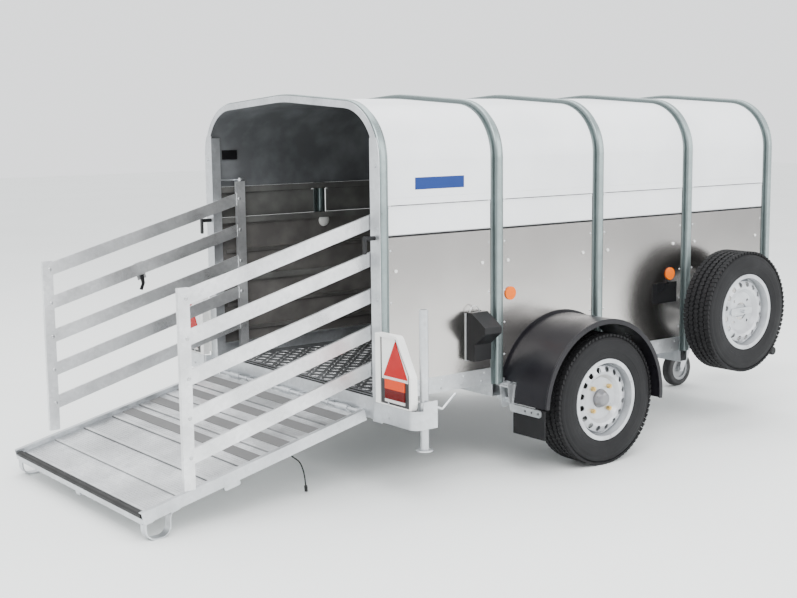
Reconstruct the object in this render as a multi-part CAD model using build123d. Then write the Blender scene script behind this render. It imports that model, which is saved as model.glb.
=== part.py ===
from build123d import *
import os
from math import atan2, cos, degrees, radians, sin, sqrt, tan

# Livestock trailer: hooped aluminium body on one sprung axle, lowered tail ramp with folding side gates.
#
# Millimetres. +X points forwards (towing direction), +Y to the left, +Z up, and the ground is z = 0.
# Everything is drawn with x counted forwards from the rear frame, and save() moves it to the row's origin,
# which lies on the ground under the middle of the whole trailer with its ramp down.

os.makedirs("parts", exist_ok=True)

# ---------------------------------------------------------------- body
BAY = 612.5                 # hoop spacing
BAYS = 4
BODY_LENGTH = BAY * BAYS
PANEL_Y = 666.0             # outer face of the side panels
PANEL_T = 3.0
RAIL_BOTTOM = 382.0         # side rail
RAIL_TOP = 450.0
RAIL_DEPTH = 27.0
RAIL_WALL = 4.0
PANEL_TOP = 1049.0
FLAP_BOTTOM = 1053.0
FLAP_TOP = 1168.0
ROOF_EDGE = 1199.0
ROOF_T = 2.5
RIDGE_Z = 1604.0            # outside of the roof sheet at the ridge
ROOF_SLOPE = 4.0            # degrees
EAVE_R = 225.0
RIDGE_R = 900.0
FLOOR_T = 8.0
FLOOR_TOP = RAIL_BOTTOM + FLOOR_T
HOOP_PROUD = 20.0
HOOP_WIDTH = 38.0
HOOP_FLANGE = 15.0
HOOP_SHEET = 2.5
HOOP_BOTTOM = 378.0
SEAT_GAP = 0.2              # gap between sheet parts that are bolted face to face on curves
SKIN_OVERHANG = 15.0

# ---------------------------------------------------------------- rear frame and ramp
RAMP_HALF = 603.0           # half width of the ramp
RAMP_LENGTH = 1036.0        # hinge axis to the ramp's outer edge
RAMP_SLOPE = 13.3           # degrees below level when it stands on its feet
HINGE_X = -38.0
HINGE_Z = 330.0
HINGE_ROD_R = 8.0
HINGE_TUBE_R = 13.0
RUNNING = 0.3               # radial running clearance of the plain hinges
RAMP_RAIL_TOP = 19.0        # heights square to the deck, from the hinge axis
RAMP_RAIL_BOTTOM = -26.0
RAMP_RAIL_WIDTH = 22.0
DECK_TOP = -6.0
DECK_T = 18.0
DECK_START = 16.0
PLANKS = 7
CLEAT_HEIGHT = 6.0
CLEAT_WIDTH = 14.0
GATE_GAP = 1.5              # ramp edge to gate
GATE_T = 18.0
JAMB_GAP = 2.0              # gate to jamb
JAMB_TOP = 1440.0
JAMB_BOTTOM = 300.0
JAMB_T = 3.0
JAMB_X = -(HOOP_WIDTH / 2 + SEAT_GAP + JAMB_T)
JAMB_RETURN = 24.0          # front edge of the jamb's inner return
JAMB_BOLTS = (345.0, 520.0, 800.0, 1080.0, 1330.0)
SILL_X = -14.0
SILL_T = 3.8

# ---------------------------------------------------------------- gates
GATE_SLOPE = 15.3           # degrees below level when the gates stand beside the ramp
GATE_RAILS = 5
RAIL_PITCH = 148.0
RAIL_HEIGHT = 55.0
RAIL_T = 12.4
TUBE_WALL = 2.0
POST_W = 46.0
POST_WALL = 2.5
RAIL_PIVOT_IN = 14.0        # rail pivot behind the post's open edge
RAIL_END = 7.0              # rail beyond its pivot
RIVET_R = 5.0
OUTER_POST_X = -860.0
OUTER_POST_BOTTOM = 166.0
OUTER_POST_TOP = 917.0
TOP_RAIL_OUTER_Z = 879.0
LEFT_HINGE_X = 120.0
RIGHT_HINGE_X = 70.0
GATE_PIN_R = 8.0
POST_FLOOR_GAP = 14.0
INNER_POST_TOP = 1225.0

# ---------------------------------------------------------------- running gear
WHEEL_X = 1023.0
WHEEL_Y = 850.0             # middle plane of the tyre
TYRE_R = 289.0
TYRE_WIDTH = 165.0
TYRE_WALL = 12.0
RIM_R = 180.0               # rim flange
RIM_WIDTH = 144.0
RIM_SHEET = 4.0
BEAD_R = 166.0
DISC_OFFSET = 30.0          # mounting face outside the tyre's middle plane
DISC_HOLES = 16
DISC_HOLE_R = 13.0
DISC_HOLE_PCD = 262.0
STUD_COUNT = 4
STUD_PCD = 139.7
STUD_HOLE_R = 7.0
HUB_BORE_R = 42.0
HUB_R = 85.0
AXLE_R = 15.0
AXLE_TUBE = 60.0
SPRING_Y = 722.0
SPRING_W = 45.0
SPRING_X = (640.0, 1406.0)
SPRING_Z = 300.0
GUARD_X = 987.0             # the mudguard's arch stands a little behind the axle
GUARD_R = 359.0
GUARD_START = -5.0          # degrees, at the front
GUARD_END = 177.5
GUARD_CUT_Y = 760.0         # the arch is cut away inside this round the spring hangers
GUARD_T = 4.0
STRAP_T = 5.0
FLAP_T = 5.0
STRAP_SPAN = (268.0, 300.0)
FLAP_LOW = 175.0
GUARD_Y = 958.0             # outer edge of the mudguard

# ---------------------------------------------------------------- front end
DRAWBAR_REACH = 1010.0      # front of the coupling, ahead of the body
LEG_TOP = 322.0
LEG_HEIGHT = 60.0
LEG_WIDTH = 50.0
LEG_START = (1400.0, 430.0)
LEG_END = (2960.0, 48.0)
DRAW_TUBE_R = 25.0
DRAW_TUBE_Z = 372.0
OVERRUN_TRAVEL = 80.0
BALL_R = 25.2               # socket for a 50 mm ball
LEVER_BACK = 120.0          # coupling lever's pin behind the coupling's front
LEVER_UP = 46.0             # and above the draw tube
JOCKEY_R = 97.0
JOCKEY_WIDTH = 56.0
JOCKEY_X = 2572.0
JOCKEY_TRAIL = 50.0
JOCKEY_TUBE_R = 24.0
JOCKEY_LEG_R = 20.0
JOCKEY_LEG_TOP = 655.0       # leaves the leg its lift under the tube's cap
JOCKEY_PIN_R = 9.0

# ---------------------------------------------------------------- fittings
CATCH_Z = 1045.0
SPARE_X = 1984.0
SPARE_Z = 580.0
STAND_X = 12.0
STAND_Y = 915.0
STAND_R = 17.5
STAND_BOTTOM = 228.0
STAND_TOP = 785.0
LAMP_BACK_X = -25.0
LAMP_FACE_X = -58.0
LAMP_DEPTH = 25.0
LAMP_CLEAR = 0.3
LAMP_BOTTOM = 400.0
LAMP_TOP = 664.0
CORNER_Y = 945.0
LEAD_R = 3.0
PEG_R = 8.0
PEG_LENGTH = 44.0
CHOCK_X = 485.0
CHOCK_WIDTH = 92.0
CHOCK_LOW = 500.0
CHOCK_PEGS = (540.0, 655.0)

ramp_tip_x = HINGE_X - RAMP_LENGTH * cos(radians(RAMP_SLOPE)) - RAMP_RAIL_TOP * sin(radians(RAMP_SLOPE))
REAR_X = -(ramp_tip_x + BODY_LENGTH + DRAWBAR_REACH) / 2
gate_inner_y = RAMP_HALF + GATE_GAP
gate_outer_y = gate_inner_y + GATE_T
gate_y = gate_inner_y + GATE_T / 2
jamb_y = gate_outer_y + JAMB_GAP
strap_x = GUARD_X - GUARD_R - GUARD_T / 2 - FLAP_T - 2 * SEAT_GAP
hoop_outer_y = PANEL_Y + SEAT_GAP + HOOP_PROUD
hoop_x = [k * BAY for k in range(BAYS + 1)]
ridge_sag = RIDGE_R * (1 / cos(radians(ROOF_SLOPE)) - 1)


# ---------------------------------------------------------------- helpers
def box(x0, x1, y0, y1, z0, z1):
    """A block from its two corners."""
    return Pos((x0 + x1) / 2, (y0 + y1) / 2, (z0 + z1) / 2) * Box(abs(x1 - x0), abs(y1 - y0), abs(z1 - z0))


def rod_x(x0, x1, y, z, r):
    return Pos((x0 + x1) / 2, y, z) * Rot(0, 90, 0) * Cylinder(r, abs(x1 - x0))


def rod_y(x, y0, y1, z, r):
    return Pos(x, (y0 + y1) / 2, z) * Rot(90, 0, 0) * Cylinder(r, abs(y1 - y0))


def rod_z(x, y, z0, z1, r):
    return Pos(x, y, (z0 + z1) / 2) * Cylinder(r, abs(z1 - z0))


def plate_xz(points, y0, y1):
    """A flat plate whose outline is drawn in X and Z."""
    face = Plane.XZ.offset(-y0) * make_face(Polyline(*points, close=True))
    return extrude(face, -(y1 - y0))


def plate_yz(points, x0, x1):
    """A flat plate whose outline is drawn in Y and Z."""
    return extrude(Plane.YZ.offset(x0) * make_face(Polyline(*points, close=True)), x1 - x0)


def mirrored(part):
    return mirror(part, Plane.XZ)


def both(*parts):
    """The right-hand pieces as given, and their copies on the left."""
    return [*parts, *(mirrored(part) for part in parts)]


def save(name, *parts):
    """One STEP file for one node, moved to the row's origin."""
    solids = [solid for part in parts for solid in part.solids()]
    export_step(Compound([Pos(REAR_X, 0, 0) * solid for solid in solids]), f"parts/{name}.step")


def arch_face(offset, z_low):
    """The body's cross-section, offset outwards from the outside of its skin, drawn in Y and Z."""
    w = PANEL_Y + offset
    top = RIDGE_Z + offset
    eave = top - w * tan(radians(ROOF_SLOPE))
    sides = FilletPolyline((-w, 0), (-w, eave), (0, top), (w, eave), (w, 0),
                           radius=[EAVE_R + offset, RIDGE_R, EAVE_R + offset])
    below = Pos(0, z_low / 2) * Rectangle(3 * w, z_low)
    return make_face(sides + Line((w, 0), (-w, 0))) - below


def arch_ring(x0, x1, inside, outside, z_low):
    """A bent strip that follows the body's cross-section between two offsets."""
    ring = arch_face(outside, z_low) - arch_face(inside, z_low)
    return extrude(Plane.YZ.offset(x0) * ring, x1 - x0)


def ramp_point(out, up):
    """X and Z of a point on the lowered ramp: distance out from the hinge, height square to the deck."""
    slope = radians(RAMP_SLOPE)
    return (HINGE_X - out * cos(slope) - up * sin(slope), HINGE_Z - out * sin(slope) + up * cos(slope))


def on_ramp(part):
    """Places a part that was drawn with the hinge axis as its origin and the ramp level along -X."""
    return Pos(HINGE_X, 0, HINGE_Z) * Rot(0, -RAMP_SLOPE, 0) * part


# ---------------------------------------------------------------- body shell
def hoop(x, rear_flange, front_flange):
    """One pressed hat-section hoop with rounded shoulders and a flange on each side of its bead."""
    half = HOOP_WIDTH / 2
    low = SEAT_GAP
    outer = arch_ring(x - half, x + half, low, low + HOOP_PROUD, HOOP_BOTTOM)
    crown = outer.edges().filter_by(lambda e: abs(e.center().X - x) > half - 0.1)
    outside = [e for e in crown if is_outside_edge(e)]
    outer = fillet(outside, HOOP_PROUD * 0.6)
    hollow = arch_ring(x - half + HOOP_SHEET, x + half - HOOP_SHEET, low, low + HOOP_PROUD - HOOP_SHEET,
                       HOOP_BOTTOM)
    shoulders = hollow.edges().filter_by(lambda e: abs(e.center().X - x) > half - HOOP_SHEET - 0.1)
    hollow = fillet([e for e in shoulders if is_outside_edge(e)], HOOP_PROUD * 0.6 - HOOP_SHEET)
    bead = outer - hollow
    x0 = x - half - (HOOP_FLANGE if rear_flange else 0)
    x1 = x + half + (HOOP_FLANGE if front_flange else 0)
    strip = arch_ring(x0, x1, low, low + HOOP_SHEET, HOOP_BOTTOM)
    inside = arch_ring(x - half + HOOP_SHEET, x + half - HOOP_SHEET, low, low + HOOP_SHEET, HOOP_BOTTOM)
    return bead + (strip - inside)


def is_outside_edge(edge):
    """True for the long edges on the crown of a hoop, which lie further out than its seat."""
    if abs(edge.bounding_box().size.X) > 0.1:
        return False
    middle = edge.position_at(0.5)
    width = abs(middle.Y)
    height = middle.Z
    eave = RIDGE_Z - PANEL_Y * tan(radians(ROOF_SLOPE))
    reach = HOOP_PROUD * 0.5
    if height < eave - EAVE_R:
        return width > PANEL_Y + reach and edge.length > HOOP_PROUD * 3
    if width < PANEL_Y - EAVE_R:
        return height > RIDGE_Z - width * tan(radians(ROOF_SLOPE)) + reach - ridge_sag
    centre_y = PANEL_Y - EAVE_R
    centre_z = eave - EAVE_R + EAVE_R * tan(radians(ROOF_SLOPE))
    return sqrt((width - centre_y) ** 2 + (height - centre_z) ** 2) > EAVE_R + reach * 0.6


def side_panel():
    return box(0, BODY_LENGTH, -PANEL_Y, -PANEL_Y + PANEL_T, RAIL_TOP, PANEL_TOP)


def front_panel():
    back = BODY_LENGTH - HOOP_WIDTH / 2
    return extrude(Plane.YZ.offset(back) * arch_face(-PANEL_T - SEAT_GAP, RAIL_TOP), PANEL_T)


def roof_skin():
    return arch_ring(-SKIN_OVERHANG, BODY_LENGTH + SKIN_OVERHANG, -ROOF_T, 0, ROOF_EDGE)


def body_rails():
    """Along each side: the vent's lower and upper rails, and a rubbing rail inside."""
    end = BODY_LENGTH - HOOP_WIDTH / 2 - SEAT_GAP
    upper = box(0, end, -PANEL_Y, -PANEL_Y + 16, FLAP_TOP + 2, ROOF_EDGE - 0.3)
    inside = -PANEL_Y + PANEL_T
    lower = box(0, end, inside + SEAT_GAP, inside + 20, PANEL_TOP - 24, FLAP_BOTTOM - 0.6)
    rubbing = box(60, BODY_LENGTH - 60, inside + SEAT_GAP, inside + 14, 742, 770)
    return both(upper, lower, rubbing)


def vent_flaps():
    """The four drop-down vent flaps of one side, between the hoops."""
    clear = HOOP_WIDTH / 2 + HOOP_FLANGE + 3
    flaps = []
    for k in range(BAYS):
        flap = box(k * BAY + clear, (k + 1) * BAY - clear, -PANEL_Y, -PANEL_Y + PANEL_T, FLAP_BOTTOM,
                   FLAP_TOP)
        lip = box(k * BAY + clear, (k + 1) * BAY - clear, -PANEL_Y - 1.6, -PANEL_Y, FLAP_TOP - 9,
                  FLAP_TOP - 5)
        flaps.append(flap + lip)
    return flaps


# ---------------------------------------------------------------- chassis
def side_rail():
    outer = box(-10, BODY_LENGTH + 10, -PANEL_Y, -PANEL_Y + RAIL_DEPTH, RAIL_BOTTOM, RAIL_TOP)
    inner = box(-11, BODY_LENGTH + 11, -PANEL_Y + RAIL_WALL, -PANEL_Y + RAIL_DEPTH + 1,
                RAIL_BOTTOM + RAIL_WALL, RAIL_TOP - RAIL_WALL)
    return outer - inner


def cross_members():
    """One hat-section member under the floor at each hoop, and two long members that carry the drawbar."""
    members = []
    for x in hoop_x:
        x0 = min(max(x - 25, -10), BODY_LENGTH - 40)
        outer = box(x0, x0 + 50, -PANEL_Y + 2, PANEL_Y - 2, LEG_TOP, RAIL_BOTTOM)
        inner = box(x0 + 3, x0 + 47, -PANEL_Y + 1, PANEL_Y - 1, LEG_TOP + 3, RAIL_BOTTOM - 3)
        members.append(outer - inner)
    return members


def drawbar():
    """Two box-section legs that meet at the nose, with a cross plate for the jockey wheel."""
    (x0, y0), (x1, y1) = LEG_START, LEG_END
    length = sqrt((x1 - x0) ** 2 + (y1 - y0) ** 2)
    angle = degrees(atan2(y0 - y1, x1 - x0))
    tube = Box(length, LEG_WIDTH, LEG_HEIGHT) - Box(length + 2, LEG_WIDTH - 6, LEG_HEIGHT - 6)
    leg = Pos((x0 + x1) / 2, -(y0 + y1) / 2, LEG_TOP - LEG_HEIGHT / 2) * Rot(0, 0, angle) * tube
    nose = box(x1 - 90, x1 + 100, -95, 95, LEG_TOP, LEG_TOP + 6)
    stem_x = JOCKEY_X + JOCKEY_TRAIL
    plate = box(stem_x - 45, stem_x + 45, -150, 150, LEG_TOP, LEG_TOP + 6)
    plate -= rod_z(stem_x, 0, LEG_TOP - 1, LEG_TOP + 7, JOCKEY_TUBE_R + RUNNING)
    return [*both(leg), nose, plate]


def overrun_housing():
    """The casting that guides the draw tube, on the drawbar's nose."""
    x0 = LEG_END[0] - 80
    x1 = LEG_END[0] + 90
    body = box(x0, x1, -42, 42, LEG_TOP + 6, DRAW_TUBE_Z + 40)
    body = fillet(body.edges().filter_by(Axis.X), 12)
    lugs = box(x0 + 20, x0 + 70, 42, 62, LEG_TOP + 30, DRAW_TUBE_Z + 60)
    return body + lugs - rod_x(x0 - 1, x1 + 1, 0, DRAW_TUBE_Z, DRAW_TUBE_R + RUNNING)


def floor_plate():
    reach = PANEL_Y - RAIL_DEPTH - 0.5
    plate = box(SILL_X + SILL_T + 0.5, BODY_LENGTH - HOOP_WIDTH / 2, -reach, reach, RAIL_BOTTOM, FLOOR_TOP)
    for side in (-1, 1):
        plate -= box(SILL_X, JAMB_RETURN + 1, side * (jamb_y - 1), side * (reach + 1), RAIL_BOTTOM - 1,
                     FLOOR_TOP + 1)
    return plate


def rear_frame():
    """Galvanised jambs, sill, ramp hinge lugs and rod, and the gate hinge brackets."""
    plate = box(JAMB_X, JAMB_X + JAMB_T, -hoop_outer_y, -jamb_y, JAMB_BOTTOM, JAMB_TOP)
    plate &= extrude(Plane.YZ.offset(JAMB_X - 1) * arch_face(SEAT_GAP + HOOP_PROUD, JAMB_BOTTOM - 1),
                     JAMB_T + 2)
    inner_return = box(JAMB_X, JAMB_RETURN, -jamb_y - JAMB_T, -jamb_y, RAIL_BOTTOM, JAMB_TOP - 10)
    jamb = plate + inner_return
    bolts = [rod_x(JAMB_X - 5, JAMB_X, -hoop_outer_y + 25, z, 7) for z in JAMB_BOLTS]
    sill = box(SILL_X, SILL_X + SILL_T, -jamb_y + 1, jamb_y - 1, HINGE_Z - 24, FLOOR_TOP + 4)
    step = box(SILL_X + SILL_T, 46, -jamb_y + 40, jamb_y - 40, FLOOR_TOP, FLOOR_TOP + 4)
    sill += step
    for y in lug_places():
        sill += box(HINGE_X, SILL_X, y - 8, y + 8, HINGE_Z - 9, HINGE_Z + 9)
        sill += rod_y(HINGE_X, y - 8, y + 8, HINGE_Z, 12)
    rod = rod_y(HINGE_X, -RAMP_HALF + 30, RAMP_HALF - 30, HINGE_Z, HINGE_ROD_R)
    sill -= rod_y(HINGE_X, -RAMP_HALF, RAMP_HALF, HINGE_Z, HINGE_ROD_R)
    right = gate_brackets(RIGHT_HINGE_X)
    left = [mirrored(part) for part in gate_brackets(LEFT_HINGE_X)]
    return [*both(jamb, *bolts), sill, rod, *right, *left]


def rear_arch():
    """The arched strip that closes the body's rear edge between the jambs."""
    return arch_ring(JAMB_X, JAMB_X + JAMB_T, -14, SEAT_GAP + HOOP_PROUD - 6, JAMB_TOP + SEAT_GAP)


def lug_places():
    return [-540, -330, -110, 110, 330, 540]


def gate_brackets(x):
    """The floor socket and the top eye that carry one gate's hinge pins, drawn on the right."""
    socket = rod_z(x, -gate_y, FLOOR_TOP, FLOOR_TOP + 10, 16)
    socket -= rod_z(x, -gate_y, FLOOR_TOP - 1, FLOOR_TOP + 11, GATE_PIN_R + RUNNING)
    eye_z = INNER_POST_TOP + 4
    eye = box(x - 17, x + 17, -PANEL_Y + PANEL_T + 0.3, -gate_y, eye_z, eye_z + 6)
    eye += rod_z(x, -gate_y, eye_z, eye_z + 6, 17)
    arm = box(JAMB_X + JAMB_T + 1, x, -PANEL_Y + 14, -PANEL_Y + 34, eye_z, eye_z + 6)
    eye += arm
    eye -= rod_z(x, -gate_y, eye_z - 1, eye_z + 7, GATE_PIN_R + RUNNING)
    return [socket, eye]


# ---------------------------------------------------------------- ramp
def ramp_frame():
    """Side rails, end members, hinge tubes, keeper tab, centre bracket and the looped feet."""
    rail = box(-RAMP_LENGTH, -6, -RAMP_HALF, -RAMP_HALF + RAMP_RAIL_WIDTH, RAMP_RAIL_BOTTOM, RAMP_RAIL_TOP)
    rail -= box(-RAMP_LENGTH - 1, -5, -RAMP_HALF + 3, -RAMP_HALF + RAMP_RAIL_WIDTH + 1, DECK_TOP,
                RAMP_RAIL_TOP - 3)
    reach = RAMP_HALF - RAMP_RAIL_WIDTH
    low = DECK_TOP - DECK_T
    frame = rail + mirrored(rail)
    frame += box(-DECK_START - 24, -DECK_START, -reach, reach, RAMP_RAIL_BOTTOM, low)
    frame += box(-RAMP_LENGTH, -RAMP_LENGTH + 30, -reach, reach, RAMP_RAIL_BOTTOM - 6, DECK_TOP)
    for y in (-200, 200):
        frame += box(-RAMP_LENGTH + 30, -DECK_START - 24, y - 20, y + 20, RAMP_RAIL_BOTTOM, low)
    for y in knuckle_places():
        frame += rod_y(0, y - 40, y + 40, 0, HINGE_TUBE_R)
        frame += box(-DECK_START, 0, y - 40, y + 40, RAMP_RAIL_BOTTOM, -HINGE_TUBE_R + 6)
        frame -= rod_y(0, y - 42, y + 42, 0, HINGE_ROD_R + RUNNING)
    tab = extrude(SlotOverall(72, 20), 6, both=True)
    tab = Pos(-655, -RAMP_HALF + 12, RAMP_RAIL_BOTTOM - 10.5) * Rot(90, 0, 0) * tab
    bracket = box(-RAMP_LENGTH + 6, -RAMP_LENGTH + 22, -20, 20, RAMP_RAIL_BOTTOM - 26, RAMP_RAIL_BOTTOM - 6)
    return [on_ramp(frame), *(on_ramp(part) for part in (tab, bracket)), *both(foot_loop())]


def knuckle_places():
    return [-435, -220, 0, 220, 435]


def foot_loop():
    """A flat steel strip bent into a loop under the ramp's outer corner, standing on the ground."""
    strip = 5.0
    bottom = RAMP_RAIL_BOTTOM - strip / 2 - 0.2
    outer = ramp_point(RAMP_LENGTH - 6, bottom)
    inner = ramp_point(RAMP_LENGTH - 112, bottom)
    line = FilletPolyline(ramp_point(RAMP_LENGTH - 40, bottom), outer, (outer[0] + 3, strip / 2),
                          (inner[0] - 5, strip / 2), inner, ramp_point(RAMP_LENGTH - 150, bottom),
                          radius=[8, 40, 40, 16])
    face = trace(line, strip)
    return extrude(Plane.XZ.offset(RAMP_HALF - 43) * face, 40)


def plank_pitch():
    return (RAMP_LENGTH - 32 - DECK_START) / PLANKS


def ramp_deck():
    """Cross planks, each with a raised cleat along its outer edge."""
    reach = RAMP_HALF - RAMP_RAIL_WIDTH - 0.5
    planks = []
    for k in range(PLANKS):
        near = -DECK_START - k * plank_pitch()
        far = near - plank_pitch() + 1
        plank = box(far, near, -reach, reach, DECK_TOP - DECK_T, DECK_TOP)
        plank -= box(far + 3, near - 3, -reach - 1, reach + 1, DECK_TOP - DECK_T + 2.5, DECK_TOP - 2.5)
        plank += box(far, far + CLEAT_WIDTH, -reach, reach, DECK_TOP, DECK_TOP + CLEAT_HEIGHT)
        planks.append(on_ramp(plank))
    return planks


def ramp_edge_strip():
    """The rubber strip along the ramp's outer edge."""
    reach = RAMP_HALF - RAMP_RAIL_WIDTH - 1
    strip = box(-RAMP_LENGTH + 1, -RAMP_LENGTH + 26, -reach, reach, DECK_TOP, DECK_TOP + 16)
    return on_ramp(chamfer(strip.edges().filter_by(Axis.Y).group_by(Axis.Z)[-1], 6))


# ---------------------------------------------------------------- gates
def gate_run(hinge_x):
    """Level distance between a gate rail's two pivots."""
    return rail_pivot_x(hinge_x) - outer_pivot_x()


def rail_pivot_x(hinge_x):
    return hinge_x - POST_W / 2 + RAIL_PIVOT_IN


def outer_pivot_x():
    return OUTER_POST_X + POST_W / 2 - RAIL_PIVOT_IN


def rail_outer_z(k):
    return TOP_RAIL_OUTER_Z - k * RAIL_PITCH


def rail_inner_z(hinge_x, k):
    return rail_outer_z(k) + gate_run(hinge_x) * tan(radians(GATE_SLOPE))


def channel(x_closed, x_open, z0, z1):
    """An upright channel on the right-hand gate line, open towards x_open."""
    shell = box(x_closed, x_open, -gate_outer_y, -gate_inner_y, z0, z1)
    side = 1 if x_open > x_closed else -1
    return shell - box(x_closed + side * POST_WALL, x_open + side, -gate_outer_y + POST_WALL,
                       -gate_inner_y - POST_WALL, z0 - 1, z1 + 1)


def rivets(x, heights):
    return [rod_y(x, -gate_outer_y, -gate_inner_y, z, RIVET_R) for z in heights]


def inner_post(hinge_x):
    half = POST_W / 2
    foot = FLOOR_TOP + POST_FLOOR_GAP
    post = channel(hinge_x + half, hinge_x - half, foot, INNER_POST_TOP)
    for z in (foot, INNER_POST_TOP - 6):
        post += box(hinge_x - half, hinge_x + half, -gate_outer_y, -gate_inner_y, z, z + 6)
    post += rod_z(hinge_x, -gate_y, FLOOR_TOP + 2, foot + 1, GATE_PIN_R)
    post += rod_z(hinge_x, -gate_y, INNER_POST_TOP - 1, INNER_POST_TOP + 16, GATE_PIN_R)
    for pin in rivets(rail_pivot_x(hinge_x), [rail_inner_z(hinge_x, k) for k in range(GATE_RAILS)]):
        post += pin
    return post


def gate_rail(hinge_x, k):
    """One sloping box-section rail between its two pivots."""
    run = gate_run(hinge_x)
    length = run / cos(radians(GATE_SLOPE))
    rail = Box(length + 2 * RAIL_END, RAIL_T, RAIL_HEIGHT)
    rail -= Box(length + 2 * RAIL_END + 2, RAIL_T - 2 * TUBE_WALL, RAIL_HEIGHT - 2 * TUBE_WALL)
    for end in (-length / 2, length / 2):
        rail -= rod_y(end, -RAIL_T, RAIL_T, 0, RIVET_R + RUNNING)
    middle_x = rail_pivot_x(hinge_x) - run / 2
    middle_z = (rail_outer_z(k) + rail_inner_z(hinge_x, k)) / 2
    return Pos(middle_x, -gate_y, middle_z) * Rot(0, -GATE_SLOPE, 0) * rail


def outer_post():
    half = POST_W / 2
    post = channel(OUTER_POST_X - half, OUTER_POST_X + half, OUTER_POST_BOTTOM, OUTER_POST_TOP)
    for z in (OUTER_POST_BOTTOM, OUTER_POST_TOP - 3):
        post += box(OUTER_POST_X - half, OUTER_POST_X + half, -gate_outer_y, -gate_inner_y, z, z + 3)
    for pin in rivets(outer_pivot_x(), [rail_outer_z(k) for k in range(GATE_RAILS)]):
        post += pin
    return post


def latch_place():
    """Middle of the second rail from the top of the left gate, at its lower edge."""
    x = rail_pivot_x(LEFT_HINGE_X) - gate_run(LEFT_HINGE_X) * 0.55
    z = rail_inner_z(LEFT_HINGE_X, 1) - gate_run(LEFT_HINGE_X) * 0.55 * tan(radians(GATE_SLOPE))
    return x, z


def latch_clamp():
    """The bracket round the left gate's second rail that carries the latch lever."""
    x, z = latch_place()
    half = RAIL_HEIGHT / 2
    strap = box(-22, 22, RAIL_T / 2 + 0.1, RAIL_T / 2 + 2, -half - 24, half + 3)
    strap += box(-22, 22, -RAIL_T / 2, RAIL_T / 2 + 2, half, half + 3)
    strap -= rod_y(0, 0, RAIL_T, -half - 14, 4 + RUNNING)
    return Pos(x, gate_y, z) * Rot(0, -GATE_SLOPE, 0) * strap


def gate_latch_lever():
    """The hooked lever that hangs from the clamp and ties the two gates together when they are shut."""
    x, z = latch_place()
    half = RAIL_HEIGHT / 2
    pivot_z = -half - 14
    arm = plate_xz([(-9, pivot_z + 9), (9, pivot_z + 9), (3, pivot_z - 30), (-18, pivot_z - 58),
                    (-30, pivot_z - 50), (-12, pivot_z - 28)], -3.5, 2.5)
    arm += rod_y(0, -3.5, RAIL_T / 2 + 2, pivot_z, 4)
    return Pos(x, gate_y, z) * Rot(0, -GATE_SLOPE, 0) * arm


def ramp_catch():
    """A turning catch on the right jamb that swings in behind the closed ramp."""
    y = -jamb_y - 26
    z = CATCH_Z
    boss = rod_x(-74, JAMB_X, y, z, 9)
    arm = box(-74, -67, y - 10, y + 10, z - 62, z + 10)
    return boss + fillet(arm.edges().filter_by(Axis.X), 8)


# ---------------------------------------------------------------- wheels
def turned(points, x, y, z):
    """A ring or disc turned about an axle along Y: points are (distance outwards along the axle,
                                                                radius)."""
    face = make_face(Polyline(*points, close=True))
    solid = revolve(face, Axis.X)
    return Pos(x, y, z) * Rot(0, 0, -90) * solid


def tyre(x, z):
    """A tyre with a tread band, bulged walls and an air space that is open at the rim."""
    half = TYRE_WIDTH / 2
    bead = 54.0
    seat = BEAD_R + RUNNING
    outer = [(-bead, seat), (-half + 4, RIM_R + 26), (-half, RIM_R + 50), (-half + 12, TYRE_R - 16),
             (-half + 26, TYRE_R - 4), (0, TYRE_R), (half - 26, TYRE_R - 4), (half - 12, TYRE_R - 16),
             (half, RIM_R + 50), (half - 4, RIM_R + 26), (bead, seat)]
    inner = [(bead - TYRE_WALL, seat), (half - TYRE_WALL, RIM_R + 40), (half - 24, TYRE_R - 22),
             (-half + 24, TYRE_R - 22), (-half + TYRE_WALL, RIM_R + 40), (-bead + TYRE_WALL, seat)]
    return turned(outer + inner, x, -WHEEL_Y, z)


def rim(x, z):
    """A pressed rim: barrel with flanges, and a dished disc with a ring of holes and the stud holes."""
    half = RIM_WIDTH / 2
    sheet = RIM_SHEET
    barrel = [(-half, RIM_R), (-half, BEAD_R - sheet), (-30, BEAD_R - sheet), (-20, BEAD_R - 18 - sheet),
              (12, BEAD_R - 18 - sheet), (24, BEAD_R - sheet), (half, BEAD_R - sheet), (half, RIM_R),
              (half - sheet, RIM_R), (half - sheet, BEAD_R), (22, BEAD_R), (10, BEAD_R - 18),
              (-18, BEAD_R - 18), (-28, BEAD_R), (-half + sheet, BEAD_R), (-half + sheet, RIM_R)]
    face = DISC_OFFSET
    disc = [(face, HUB_BORE_R), (face + sheet, HUB_BORE_R), (face + sheet, 92), (face + 20, 108),
            (face + 24, 122), (face + 14, 146), (2, BEAD_R - 18 - sheet), (-2, BEAD_R - 18 - sheet),
            (face + 10, 142), (face + 20, 120), (face + 16, 111), (face, 96)]
    shell = turned(barrel, x, -WHEEL_Y, z) + turned(disc, x, -WHEEL_Y, z)
    for k in range(DISC_HOLES):
        a = radians(360 / DISC_HOLES * (k + 0.5))
        r = DISC_HOLE_PCD / 2
        shell -= rod_y(x + r * cos(a), -WHEEL_Y - 70, -WHEEL_Y - 12, z + r * sin(a), DISC_HOLE_R)
    for k in range(STUD_COUNT):
        a = radians(360 / STUD_COUNT * (k + 0.5))
        r = STUD_PCD / 2
        shell -= rod_y(x + r * cos(a), -WHEEL_Y - 50, -WHEEL_Y - 12, z + r * sin(a), STUD_HOLE_R)
    return shell


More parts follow.
